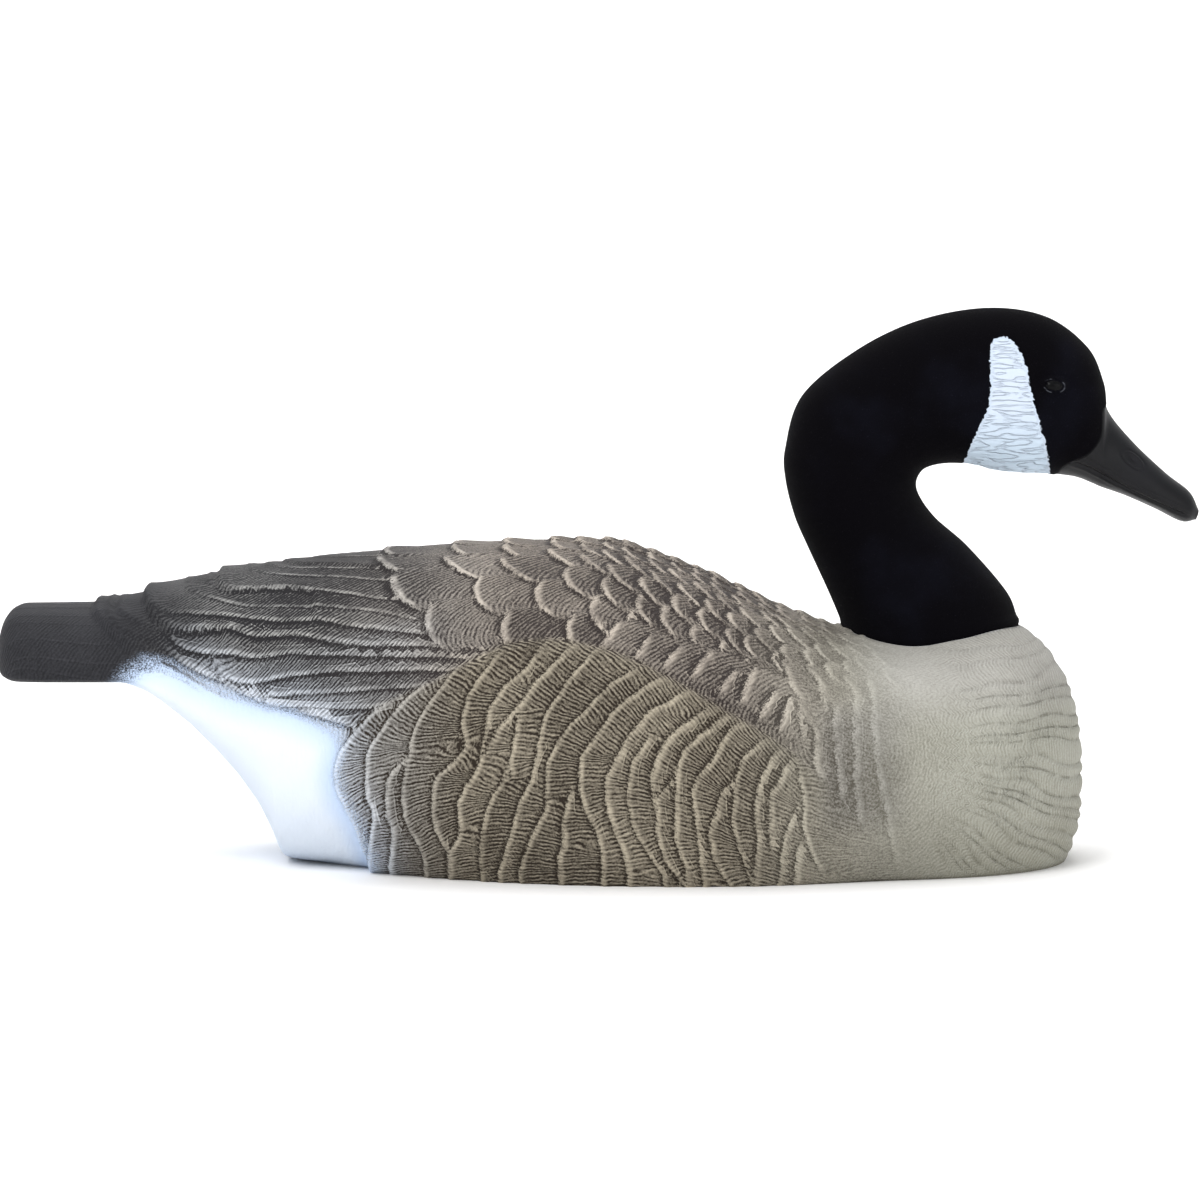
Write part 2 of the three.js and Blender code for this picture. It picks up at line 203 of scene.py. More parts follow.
class Outline:
    """A closed smooth outline on a flat chart."""

    def __init__(self, points: list[Pair], steps: int = 4) -> None:
        """Rounds the outline through its points.

        Args:
            points: Corners in order, in millimetres.
            steps: How many straight pieces join one corner to the next.
        """
        ring = np.array(points, float) * MM
        closed = np.vstack([ring[-2:], ring, ring[:3]])
        first = 2 / (len(closed) - 1)
        last = (2 + len(ring)) / (len(closed) - 1)
        share = np.linspace(first, last, len(ring) * steps + 1)
        self.ring = spline(closed, share)

    def depth(self, a: Array, b: Array) -> Array:
        """Distance to the outline, above 0 inside it and below 0 outside.

        Args:
            a: Place across the chart.
            b: Place up the chart.

        Returns:
            Distance in metres.
        """
        nearest = np.full(a.shape, np.inf)
        inside = np.zeros(a.shape, bool)
        for (a0, b0), (a1, b1) in zip(self.ring[:-1], self.ring[1:]):
            da, db = a1 - a0, b1 - b0
            along = np.clip(((a - a0) * da + (b - b0) * db) / (da * da + db * db + 1e-18), 0, 1)
            nearest = np.minimum(nearest, np.hypot(a - a0 - along * da, b - b0 - along * db))
            if db:
                crossing = a0 + (b - b0) * da / db
                inside ^= ((b0 > b) != (b1 > b)) & (a < crossing)
        return np.where(inside, nearest, -nearest)


# Plain helpers on meshes and objects.


def stand(name: str, data: bpy.types.ID) -> Piece:
    """A new object at the origin, in the scene.

    Args:
        name: Its name.
        data: Its mesh, light or camera.

    Returns:
        The object.
    """
    thing = bpy.data.objects.new(name, data)
    bpy.context.collection.objects.link(thing)
    return thing


def settle(shape: Shape, mesh: Mesh) -> Mesh:
    """Writes a finished shape into a mesh and lets go of the shape.

    Args:
        shape: The shape.
        mesh: The mesh.

    Returns:
        The mesh.
    """
    shape.to_mesh(mesh)
    shape.free()
    return mesh


def everything(shape: Shape) -> list:
    """All vertices, edges and faces of a shape."""
    return shape.verts[:] + shape.edges[:] + shape.faces[:]


def mirror_half(shape: Shape) -> None:
    """Adds the far half of a shape and joins the two at the middle."""
    bmesh.ops.mirror(shape, geom=everything(shape), axis="Y", merge_dist=MERGE)
    bmesh.ops.remove_doubles(shape, verts=shape.verts, dist=MERGE)


def close_holes(shape: Shape) -> tuple[list, list]:
    """Fills every hole, and gives back the edges of the holes and the large new faces.

    Args:
        shape: The shape.

    Returns:
        Edges and faces.
    """
    rim = [edge for edge in shape.edges if edge.is_boundary]
    bmesh.ops.holes_fill(shape, edges=rim, sides=0)
    return rim, [face for face in shape.faces if len(face.verts) > 8]


def smooth_faces(shape: Shape) -> None:
    """Shades every face smooth."""
    for face in shape.faces:
        face.smooth = True


def write_marks(mesh: Mesh, marks: dict[str, Array]) -> None:
    """Writes marks as attributes of the vertices, numbers and colours alike.

    Args:
        mesh: The mesh.
        marks: One value a vertex, by name.
    """
    for name, values in marks.items():
        if values.ndim == 1:
            layer = mesh.attributes.new(name, "FLOAT", "POINT")
            layer.data.foreach_set("value", values.astype(np.float32))
        else:
            layer = mesh.attributes.new(name, "FLOAT_COLOR", "POINT")
            colour = np.ones((len(values), 4), np.float32)
            colour[:, :3] = values
            layer.data.foreach_set("color", colour.ravel())


# The body's form, the same as the solid's.


@dataclass(frozen=True)
class BodyForm:
    """The plain body, from the end of the tail to the breast."""

    length: float = 0.613
    width: float = 0.268
    back_height: float = 0.1825
    tail_width: float = 0.116
    tail_top: float = 0.1445
    tail_thickness: float = 0.042
    tail_end_round: float = 0.015
    tail_corner_round: float = 0.040
    tail_widest: float = 0.62
    breast_height: float = 0.045
    round_back: float = 2.2
    round_keel: float = 2.2
    round_tail: float = 3.4
    round_plan: float = 0.38
    round_top: float = 0.114
    round_under: float = 0.15
    breast_power: float = 2.5
    plan_power: float = 2.3
    corner_power: float = 3.0

    def back(self, share: Array) -> Array:
        """Height of the back along the body, as a share of its greatest height."""
        top = self.tail_top / self.back_height
        return Profile(
            (0, top), (0.091, top + 0.004), (0.135, 0.826), (0.202, 0.889), (0.245, 0.912),
            (0.336, 0.952), (0.411, 0.976), (0.504, 0.99), (0.555, 0.985), (0.636, 0.907),
            (0.726, 0.776), (0.781, 0.714), (0.832, 0.696), (0.881, 0.725), (0.945, 0.764),
            (1, 0.764),
        )(share)

    def keel(self, share: Array) -> Array:
        """Height of the keel along the body, below the ground where it is cut flat."""
        under = (self.tail_top - self.tail_thickness) / self.back_height
        return Profile(
            (0, under), (0.117, under), (0.137, under - 0.025), (0.158, 0.477), (0.195, 0.356),
            (0.232, 0.197), (0.25, 0.082), (0.257, 0.02), (0.263, -0.005), (0.318, -0.035),
            (0.374, -0.085), (0.43, -0.155), (0.485, -0.24), (0.56, -0.33), (0.638, -0.32),
            (0.744, -0.24), (0.82, -0.185), (1, -0.205),
        )(share)

    def girth(self, share: Array) -> Array:
        """Height of the widest line along the body."""
        under = (self.tail_top - self.tail_thickness) / self.back_height
        return Profile(
            (0, under + 0.038), (0.112, under + 0.038), (0.16, 0.565), (0.2, 0.513),
            (0.25, 0.45), (0.32, 0.41), (0.45, 0.373), (0.6, 0.345), (0.75, 0.318),
            (0.9, 0.274), (1, self.breast_height / self.back_height),
        )(share)

    def plan(self, share: Array) -> Array:
        """Width along the body as a share of the greatest width."""
        tail = self.tail_width / self.width
        return Profile(
            (0, tail), (0.114, tail), (0.147, 0.443), (0.188, 0.514), (0.245, 0.63),
            (0.342, 0.786), (0.44, 0.907), (0.555, 0.979), (0.62, 1), (1, 1),
        )(share)

    def lines(self, x: Array) -> tuple[Array, Array, Array, Array]:
        """Top, middle and keel heights and half the width at a distance from the tail.

        Args:
            x: Distance from the end of the tail.

        Returns:
            The three heights and the half width.
        """
        share = x / self.length
        ahead = self.length - x
        start = self.breast_height
        over = rounded_end(ahead, self.round_top * self.length, self.breast_power)
        under = rounded_end(ahead, self.round_under * self.length, self.breast_power)
        top = mix(start, self.back(share) * self.back_height, over)
        keel = mix(start, self.keel(share) * self.back_height, under)
        middle = self.girth(share) * self.back_height
        half = self.plan(share) * self.width / 2
        half = half * rounded_end(ahead, self.round_plan * self.length, self.plan_power)
        corner = rounded_end(x, self.tail_corner_round, self.corner_power)
        return top, middle, keel, half * corner

    def section(self, x: Array, turn: Array) -> tuple[Array, Array]:
        """One point of the half section.

        Args:
            x: Distance from the end of the tail.
            turn: Share of the half turn, from the middle of the back to that of the keel.

        Returns:
            Distance across from the middle, and height.
        """
        top, middle, keel, half = self.lines(x)
        lower = mix(self.round_tail, self.round_keel, ramp(0.12, 0.25, x / self.length))
        power = np.where(turn < 0.5, self.round_back, lower)
        angle = turn * math.pi
        across = half * np.abs(np.sin(angle)) ** (2 / power)
        rise = np.abs(np.cos(angle)) ** (2 / power)
        height = np.where(turn < 0.5, mix(middle, top, rise), mix(middle, keel, rise))
        end = rounded_end(x, self.tail_end_round, self.plan_power)
        return across, mix(self.tail_top - self.tail_widest * self.tail_thickness, height, end)

    def top_at(self, x: Array, across: Array) -> Array:
        """Height of the upper side of the body at a distance across from the middle.

        Args:
            x: Distance from the end of the tail.
            across: Distance across.

        Returns:
            The height.
        """
        top, middle, _, half = self.lines(x)
        share = np.clip(np.abs(across) / np.maximum(half, 1e-6), 0, 1)
        rise = (1 - share**self.round_back) ** (1 / self.round_back)
        return mix(middle, top, rise)


# Feathers. Each is traced on the unrolled skin: x from the end of the tail, s round the
# girth from the middle of the back.


@dataclass
class Trace:
    """What a feather does at each place."""

    depth: Array
    run: Array
    present: Array
    light: Array
    lift: Array | float = 1.0


@dataclass
class Feather:
    """One carved feather, with its free edge at depth 0 and a light line brushed along it."""

    rise: float
    fall: float
    bead: float = 0.0
    tone: float = 0.0
    reach: float = 0.06
    order: float = 0.0
    width: float = 2.4 * MM
    light: float = 1.0
    barbs: float = 1.0
    barb_reach: float = 0.10
    comb: float = 0.3
    soft: float = 1.3 * MM

    def trace(self, x: Array, s: Array) -> Trace:
        """What the feather does at x from the end of the tail and s round the girth."""
        raise NotImplementedError

    def box(self) -> Limits:
        """Lowest and highest x, and lowest and highest s, that the feather can cover."""
        raise NotImplementedError

    def near(self, x: Array, s: Array) -> Array:
        """Which places the feather can cover."""
        x0, x1, s0, s1 = self.box()
        return (x > x0) & (x < x1) & (s > s0) & (s < s1)

    def gain(self, depth: Array) -> Array:
        """How clear the barbs are at each depth."""
        clear = 1 - 0.65 * ramp(0.35 * self.barb_reach, self.barb_reach, depth)
        return self.barbs * clear

    def relief(self, trace: Trace) -> Array:
        """Height above the skin under the feather.

        Args:
            trace: What the feather does at each place.

        Returns:
            Height in metres.
        """
        fall = np.clip(1 - trace.depth / self.fall, 0, 1) ** 1.7
        bead = bell(trace.depth, 1.6 * MM, 1.4 * MM)
        return trace.present * trace.lift * (self.rise * fall + self.bead * bead)


def slope_of(edge: Profile, place: Array) -> Array:
    """Slope of a free edge at a place, taken over 3 mm."""
    step = 1.5 * MM
    return (edge(place + step) - edge(place - step)) / (2 * step)


@dataclass
class Ridge(Feather):
    """A long flank feather, whose free edge runs down round the flank."""

    edge: Profile | None = None
    upper: float = 0.12
    lower: float = 0.40
    wave: float = 0.3 * MM
    phase: float = 0.0

    def line(self, s: Array) -> Array:
        """Place of the free edge at a distance round the girth."""
        sway = 2.2 * np.sin(s / 0.0057 + self.phase)
        return self.edge(s) + self.wave * np.sin(s / 0.0021 + sway)

    def trace(self, x: Array, s: Array) -> Trace:
        """Depth ahead of the free edge, and arc length along it."""
        slope = slope_of(self.edge, s)
        norm = 1 + slope * slope
        ahead = x - self.line(s)
        depth = ahead / np.sqrt(norm)
        foot = s + ahead * slope / norm
        places = np.linspace(0.10, 0.42, 161)
        pace = np.hypot(1, np.gradient(self.edge(places), places))
        run = np.interp(foot, places, np.cumsum(pace) * (places[1] - places[0]))
        fade = 5 * MM
        present = window(s, self.upper - fade, self.upper + fade, self.lower - fade,
                         self.lower + fade)
        return Trace(depth, run, present, self.light * present)

    def box(self) -> Limits:
        """Range of the ridge and of the skin ahead of it."""
        values = self.edge.value
        return (values.min() - 0.006, values.max() + 0.06, self.upper - 0.006, self.lower + 0.006)


@dataclass
class Plume(Feather):
    """A long wing or tail feather, whose free lower edge runs along the body."""

    edge: Profile | None = None
    start: float = 0.0
    stop: float = 0.35
    barb_slope: float = 0.9
    fade: Pair = (0.10, 0.16)

    def trace(self, x: Array, s: Array) -> Trace:
        """Depth above the free edge, and place along the barbs' row."""
        slope = slope_of(self.edge, x)
        above = (self.edge(x) - s) / np.sqrt(1 + slope * slope)
        run = x - self.barb_slope * above
        present = window(x, self.start, self.start + 2 * MM, self.stop - 20 * MM, self.stop)
        return Trace(above, run, present, self.light * present * ramp(*self.fade, x))

    def box(self) -> Limits:
        """Range of the feather."""
        return (self.start, self.stop, -0.01, float(self.edge.value.max()) + 0.01)


@dataclass
class Scale(Feather):
    """A small back feather with a rounded tip."""

    tip: float = 0.3
    middle: float = 0.05
    half: float = 0.016
    slant: float = 0.4
    round_off: float = 0.005
    lean: float = 0.8

    def trace(self, x: Array, s: Array) -> Trace:
        """Depth inside the rounded tip, and place along its barbs."""
        side = s - self.middle
        share = side / self.half
        line = self.tip + self.slant * side + self.round_off * np.abs(share) ** 2.4
        ahead = (x - line) / math.sqrt(1 + self.slant * self.slant)
        beside = (self.half - np.abs(side)) * 0.9
        depth = np.minimum(ahead, beside)
        run = ahead * math.sin(self.lean) + side * math.cos(self.lean) + 9 * side * ahead
        near_tip = ramp(-1.0 * MM, 3.0 * MM, beside - ahead)
        light = self.light * mix(0.12 * (1 - ramp(4 * MM, 16 * MM, ahead)), 1.0, near_tip)
        lift = np.clip(1 - 0.9 * ahead / self.fall, 0, 1)
        return Trace(depth, run, np.ones_like(x), light, lift)

    def box(self) -> Limits:
        """Range of the feather and of the skin ahead of it."""
        s = self.half + 0.003
        back = abs(self.slant) * self.half + 0.004
        return (self.tip - back, self.tip + self.reach, self.middle - s, self.middle + s)


# Outlines on the unrolled skin, x and s in millimetres.

FLANK = Outline([
    (212, 420), (211, 300), (210, 250), (206, 225), (203, 209), (198, 197), (194, 186), (192, 174),
    (195, 162), (203, 154), (215, 147), (231, 143), (248, 140), (262, 135), (276, 129), (291, 124),
    (307, 123), (322, 125), (344, 131), (366, 138), (387, 144), (403, 149), (422, 153), (440, 158),
    (462, 170), (485, 190), (515, 218), (560, 250), (600, 300), (600, 420),
])
RUMP = Outline([
    (54, 440), (60, 130), (67, 100), (74, 86), (80, 79), (90, 76), (100, 80), (108, 87), (115, 94),
    (125, 102), (136, 111), (152, 122), (168, 131), (182, 141), (194, 152), (197, 162), (195, 174),
    (197, 186), (201, 197), (206, 209), (210, 226), (213, 255), (214, 440),
])

# Dusky streaks in the white of the rump, along the wing.
STREAKS = (
    (((76, 68), (89, 73), (102, 82), (116, 96), (128, 108), (145, 120)), 0.40),
    (((80, 76), (92, 80), (104, 89), (118, 103), (130, 114)), 0.25),
)

# Free edges of the flank feathers, from the rear: x and s down the flank.
FLANK_EDGES = (
    ((238, 138), (226, 144), (216, 149), (206, 157), (199, 165), (196, 174), (198, 186),
     (202, 196), (206, 209), (209, 224), (213, 245)),
    ((252, 136), (239, 144), (231, 150), (224, 157), (218, 164), (214, 172), (214, 190),
     (218, 204), (217, 211), (215, 221), (213, 240)),
    ((236, 178), (229, 182), (226, 186), (225, 194), (225, 204), (228, 215), (227, 228),
     (225, 243)),
    ((265, 130), (257, 142), (249, 151), (242, 161), (239, 168), (238, 176), (235, 186),
     (234, 199), (235, 208), (238, 218), (241, 226), (245, 238)),
    ((290, 122), (282, 135), (276, 142), (271, 149), (268, 155), (266, 166), (268, 176),
     (265, 182), (258, 187), (252, 192), (250, 198), (250, 208), (251, 217), (254, 226),
     (258, 237), (258, 252)),
    ((312, 124), (301, 140), (295, 145), (288, 150), (284, 156), (280, 162), (279, 170),
     (276, 185), (272, 194), (267, 201), (264, 208), (265, 222), (259, 236)),
    ((328, 126), (314, 141), (306, 149), (298, 158), (291, 166), (285, 172), (280, 181)),
    ((296, 167), (295, 175), (293, 184), (292, 190), (293, 196)),
    ((290, 194), (285, 203), (280, 211), (278, 218), (277, 226), (276, 236)),
    ((342, 126), (332, 139), (325, 147), (319, 155), (314, 162), (310, 170), (306, 188),
     (304, 197), (300, 206), (296, 215), (292, 230), (289, 239), (286, 250)),
    ((368, 133), (355, 145), (348, 150), (339, 158), (331, 167), (325, 172), (319, 179),
     (315, 186), (312, 193), (311, 201), (311, 210), (313, 218), (316, 224)),
    ((312, 213), (307, 224), (303, 232), (300, 240), (297, 252)),
    ((382, 136), (367, 148), (357, 157), (349, 164), (343, 172), (338, 179), (333, 185),
     (329, 192), (329, 207), (331, 214), (334, 222), (338, 230), (341, 242)),
    ((325, 207), (322, 214), (320, 228), (320, 235), (318, 246), (318, 258)),
    ((323, 228), (328, 234), (334, 241), (342, 247)),
    ((392, 140), (376, 156), (368, 162), (362, 170), (354, 180), (350, 188), (346, 195),
     (343, 204), (344, 219), (347, 227), (350, 235), (355, 251)),
    ((366, 177), (362, 184), (358, 190), (356, 197), (355, 210), (357, 223), (361, 232),
     (366, 240), (374, 250)),
    ((403, 148), (389, 161), (382, 168), (376, 175), (372, 182), (369, 191), (367, 199),
     (369, 213)),
    ((380, 192), (374, 203), (370, 210), (370, 225), (372, 233), (375, 241), (383, 250)),
    ((412, 148), (398, 163), (390, 172), (384, 180), (381, 188), (380, 198), (380, 226),
     (382, 234), (386, 243)),
    ((421, 149), (408, 162), (404, 170), (400, 178), (394, 187), (390, 193), (389, 201),
     (392, 222), (393, 234), (395, 246)),
    ((415, 177), (409, 189), (404, 196), (402, 204), (398, 220), (400, 230), (404, 238),
     (410, 247)),
    ((433, 151), (421, 166), (415, 174), (412, 184), (411, 194), (410, 203), (413, 220),
     (416, 226), (420, 238)),
    ((440, 153), (428, 172), (424, 184), (422, 199), (424, 209), (423, 223), (422, 242)),
    ((447, 156), (439, 168), (434, 178), (430, 187), (430, 202), (431, 214)),
    ((446, 184), (441, 197), (438, 207), (436, 225), (435, 240)),
    ((443, 158), (446, 170), (448, 182), (448, 196), (451, 206), (458, 219)),
    ((447, 206), (445, 216), (444, 234)),
)

# Soft pale folds between the flank and the breast.
SIDE_FOLDS = (
    ((438, 104), (442, 116), (446, 126), (448, 150)),
    ((454, 140), (455, 160), (459, 178), (462, 186), (467, 205), (468, 236)),
    ((452, 100), (458, 112), (460, 126)),
    ((466, 122), (465, 136), (467, 160), (469, 185), (476, 214), (480, 240)),
    ((472, 96), (477, 114), (476, 132), (476, 158), (480, 186), (488, 214)),
    ((484, 92), (487, 108), (486, 126), (488, 150), (494, 176), (499, 200)),
    ((492, 128), (497, 142), (500, 160), (507, 178)),
)

# Lower free edges of the folded wing's feathers, the lowest first.
WING_EDGES = (
    ((60, 0), (65, 40), (73, 56), (84, 62), (97, 70), (110, 85), (124, 97), (135, 105), (145, 115),
     (165, 129), (185, 140), (205, 152), (240, 170)),
    ((140, 0), (144, 70), (148, 104), (157, 123), (178, 133), (198, 140), (216, 145), (240, 150),
     (300, 160)),
    ((122, 0), (126, 70), (131, 99), (139, 110), (163, 122), (178, 126), (197, 131), (216, 135),
     (249, 142), (300, 150)),
    ((118, 0), (123, 62), (129, 94), (138, 105), (152, 111), (172, 114), (191, 118), (216, 125),
     (257, 135), (300, 146)),
    ((67, 0), (70, 34), (76, 44), (90, 56), (99, 61), (106, 72), (117, 81), (132, 88), (152, 97),
     (171, 101), (187, 107), (203, 112), (229, 120), (264, 129), (300, 140)),
    ((84, 0), (86, 30), (91, 50), (99, 60), (112, 68), (132, 74), (152, 85), (171, 90), (184, 96),
     (197, 103), (216, 110), (241, 117), (300, 132)),
    ((80, 0), (83, 24), (89, 42), (98, 51), (112, 57), (131, 65), (151, 74), (167, 80), (183, 84),
     (203, 94), (222, 102), (256, 114), (300, 126)),
    ((104, 0), (107, 24), (114, 39), (124, 48), (144, 61), (164, 68), (183, 75), (202, 82),
     (215, 87), (241, 100), (300, 116)),
    ((116, 0), (119, 22), (126, 38), (135, 46), (163, 54), (182, 63), (202, 71), (221, 80),
     (300, 106)),
    ((138, 0), (142, 18), (151, 30), (167, 39), (188, 48), (208, 58), (222, 64), (300, 90)),
    ((148, 0), (151, 10), (160, 22), (187, 36), (220, 50), (252, 63), (300, 78)),
    ((176, 0), (180, 8), (190, 14), (231, 30), (300, 44)),
)

# Groups of feathers that end in a step: s and x of the step, its rise and how far it fades.
STEPS = (
    (((0, 54), (30, 56), (46, 62), (62, 74), (80, 92)), 3.6, 0.044),
    (((0, 83), (26, 84), (36, 87), (50, 91), (60, 99), (68, 112), (74, 132)), 4.6, 0.050),
    (((0, 124), (24, 125), (38, 128), (46, 135), (54, 163), (63, 182)), 3.2, 0.050),
    (((0, 160), (12, 163), (22, 172), (36, 195), (50, 222)), 1.6, 0.040),
)

# Feathers of the shoulder that lean back: tip, distance round the girth, slant, half width.
SHOULDER_FEATHERS = (
    (344, 121, -0.65, 9), (362, 126, -0.5, 10), (378, 127, -0.6, 11), (393, 127, -0.55, 12),
    (407, 133, -0.5, 11), (418, 130, -0.3, 14), (429, 137, -0.45, 12), (438, 139, -0.3, 12),
)


def traced(points: tuple[Pair, ...], down: bool = False) -> Profile:
    """Profile through places in millimetres: s along x, or x down the girth."""
    return Profile(*((b * MM, a * MM) if down else (a * MM, b * MM) for a, b in points))


# Where the flank feathers begin round the girth.
ARCH = traced((
    (195, 174), (205, 156), (231, 145), (262, 136), (291, 124), (307, 123), (344, 131), (387, 144),
    (422, 153), (462, 170), (515, 218), (560, 250),
))


# Ridges past this order stop at the flank's outline; the foremost side fold is one of them.
FLANK_ORDER = 2.99

# How far each row of back feathers sweeps forward as it goes down the side.
CHAIN_SWEEP = traced(((0, 0), (45, 1), (75, 8), (100, 21), (125, 38), (160, 62)))


@dataclass
class Plumage:
    """The carved feathers of one side of the body, from the tail to the breast."""

    seed: int = 11
    ridge_rise: float = 1.9 * MM
    scale_rise: float = 1.7 * MM
    wing_rise: float = 1.0 * MM
    tail_rise: float = 0.3 * MM
    fold_rise: float = 0.9 * MM
    long_wing_feathers: int = 7
    tail_edges: tuple[float, ...] = (76, 68, 57, 43, 34, 20, 9)
    chain_places: tuple[float, ...] = (
        219, 256, 286, 311, 328, 341, 353, 366, 379, 391, 403, 415, 427, 439, 451, 463, 475, 487,
    )
    feathers: list[Feather] = field(default_factory=list)

    def __post_init__(self) -> None:
        """Starts the random draws."""
        self.chance = random.Random(self.seed)

    def vary(self, low: float, high: float) -> float:
        """The next random number between two limits."""
        return self.chance.uniform(low, high)

    def grow_tail(self) -> None:
        """Long feathers of the tail, side by side."""
        for edge in self.tail_edges:
            near = edge * self.vary(0.80, 0.92)
            self.feathers.append(Plume(
                rise=self.tail_rise, fall=12 * MM, tone=self.vary(-1, 1),
                edge=traced(((0, near), (40, edge), (80, edge * 1.08), (130, edge * 1.22))),
                start=-0.01, stop=0.16, barb_slope=0.6, order=-1.0, width=0.9 * MM, light=0.22,
                soft=2.4 * MM, fade=(-0.02, -0.01),
            ))

    def grow_wing(self) -> None:
        """Long feathers of the folded wing."""
        for i, line in enumerate(WING_EDGES):
            start = line[0][0] * MM
            long = i < self.long_wing_feathers
            share = 1.0 if long else 0.6
            self.feathers.append(Plume(
                rise=self.wing_rise * self.vary(0.9, 1.15) * share, fall=11 * MM,
                bead=(0.35 if long else 0.2) * MM, tone=self.vary(-1, 1), start=start,
                stop=0.36, barb_slope=0.95, edge=traced(line), order=i * 0.001,
                barbs=0.8 if long else 0.6,
                width=(self.vary(1.9, 2.6) if long else self.vary(1.2, 1.6)) * MM,
                light=self.vary(1.0, 1.25) * share, comb=0.7 if long else 0.25,
                soft=2.4 * MM, fade=(max(start + 0.006, 0.092), max(start + 0.030, 0.125)),
            ))

    def chain(self, index: int, s: float) -> float:
        """Place of the tips of one row of back feathers."""
        start = self.chain_places[index] * MM
        return start + float(CHAIN_SWEEP(s)) * (1 - 0.45 * index / len(self.chain_places))

    def grow_back(self) -> None:
        """Rows of small overlapping feathers over the back and shoulders."""
        count = len(self.chain_places)
        for k in range(count):
            forward = k / (count - 1)
            spacing = mix(0.030, 0.0175, min(1.0, forward * 1.6))
            s = 0.0 if k % 2 else spacing / 2
            while True:
                tip = self.chain(k, s)
                clear_of_flank = 0.019 if tip > 0.335 else 0.002
                past_shoulder = tip > 0.425 and s > 0.105
                if s > float(ARCH(tip)) - clear_of_flank or tip > 0.50 or past_shoulder:
                    break
                self.grow_scale(forward, spacing, tip, s)
                s += spacing * self.vary(0.93, 1.07)

    def grow_scale(self, forward: float, spacing: float, tip: float, s: float) -> None:
        """One small feather of the back.

        Args:
            forward: Share of the way from the first row to the last.
            spacing: Distance to its neighbours in the row.
            tip: Place of its tip along the body.
            s: Distance of its middle round the girth.
        """
        on_spine = s < 0.004
        low = float(ramp(0.066, 0.092, s))
        slant = 0.0 if on_spine else float(mix(0.10, 0.62, ramp(0.012, 0.06, s)))
        fade = 1 - 0.8 * float(ramp(0.42, 0.49, tip))
        ridge = mix(1.0, 1.9, float(ramp(0.300, 0.325, tip))) if s < 0.016 else 1.0
        lean = mix(0.25, 0.85, ramp(0.01, 0.07, s)) + self.vary(-0.15, 0.15)
        self.feathers.append(Scale(
            rise=self.scale_rise * (1.15 - 0.5 * forward) * ridge * self.vary(0.85, 1.15),
            fall=mix(16, 9, forward) * MM, bead=0.35 * MM, tone=self.vary(-1, 1),
            tip=tip + (0 if on_spine else self.vary(-2.0, 2.0) * MM), middle=s,
            half=spacing * 0.56, slant=slant * mix(1.0, 0.30, low),
            round_off=(mix(5.5, 3.5, forward) + 2.5 * low) * MM, reach=0.05,
            order=1.0 + tip - 0.12 * s, width=self.vary(2.4, 3.5) * MM,
            light=self.vary(0.95, 1.3) * fade, barb_reach=0.028, lean=lean,
            barbs=mix(0.65, 0.42, ramp(0.2, 0.6, forward)), comb=0.12,
        ))

    def grow_shoulder(self) -> None:
        """One row of feathers that leans back down to the flank."""
        for tip, middle, slant, half in SHOULDER_FEATHERS:
            self.feathers.append(Scale(
                rise=self.scale_rise * self.vary(0.8, 1.0), fall=12 * MM, bead=0.3 * MM,
                tone=self.vary(-1, 1), tip=tip * MM, middle=middle * MM, half=half * MM,
                slant=slant, round_off=1 * MM, reach=0.04, order=2.0 + tip * MM,
                width=3.0 * MM, light=1.1, lean=1.25, barbs=0.7, comb=0.1,
            ))

    def grow_flank(self) -> None:
        """Long feathers down the flank, a few of them cut short by their neighbours."""
        for line in FLANK_EDGES:
            edge = traced(line, down=True)
            middle = float(edge(0.200))
            fade = 1 - 0.55 * float(ramp(0.41, 0.46, middle))
            first, last = line[0][1], line[-1][1]
            at_top = first * MM < float(ARCH(line[0][0] * MM)) + 8 * MM
            start = first - 12 if at_top else first
            self.feathers.append(Ridge(
                rise=self.ridge_rise * fade * self.vary(0.9, 1.1), fall=13 * MM,
                bead=0.5 * MM * fade, tone=self.vary(-1, 1), edge=edge,
                upper=start * MM, lower=(last if last < 236 else 420) * MM,
                phase=self.vary(0, 6.28), order=3.0 + middle, comb=0.15,
                width=self.vary(2.0, 2.9) * MM, light=mix(0.6, 1.05, fade),
            ))
        for line in SIDE_FOLDS:
            top = line[0][0] * MM
            self.feathers.append(Ridge(
                rise=self.fold_rise, fall=9 * MM, bead=0.3 * MM, edge=traced(line, down=True),
                upper=line[0][1] * MM, lower=line[-1][1] * MM, phase=self.vary(0, 6.28),
                wave=0.6 * MM, reach=0.02, order=2.5 + top, width=3.4 * MM, barbs=0.45, comb=0.1,
                light=0.62 - 0.25 * float(ramp(0.450, 0.478, top)),
            ))

    def grow(self) -> None:
        """Grows every feather and puts them in the order in which they overlap."""
        self.grow_tail()
        self.grow_wing()
        self.grow_back()
        self.grow_shoulder()
        self.grow_flank()
        self.feathers.sort(key=lambda feather: feather.order)

    def within(self, feather: Feather, trace: Trace, x: Array, flank: Array) -> Array:
        """How much of a feather there is at each place, whatever its free edge.

        Args:
            feather: The feather.
            trace: What it does there.
            x: Distance from the end of the tail.
            flank: Depth inside the flank's outline.

        Returns:
            Share from 0 to 1.
        """
        share = np.clip(trace.present * 3, 0, 1)
        reach = feather.reach
        if isinstance(feather, Ridge):
            share = share * (1 - ramp(reach - 0.02, reach - 0.005, trace.depth))
            if feather.order > FLANK_ORDER:
                share = share * ramp(-1.5 * MM, 1.5 * MM, flank)
        if isinstance(feather, Scale):
            share = share * (1 - ramp(reach - 0.015, reach - 0.004, x - feather.tip))
        return share


# The body piece.


@dataclass(frozen=True)
class PlumagePaint:
    """Paints of one part of the plumage: in the hollows, and brushed over the raised barbs."""

    ground: Colour
    brushed: Colour
    cover: float


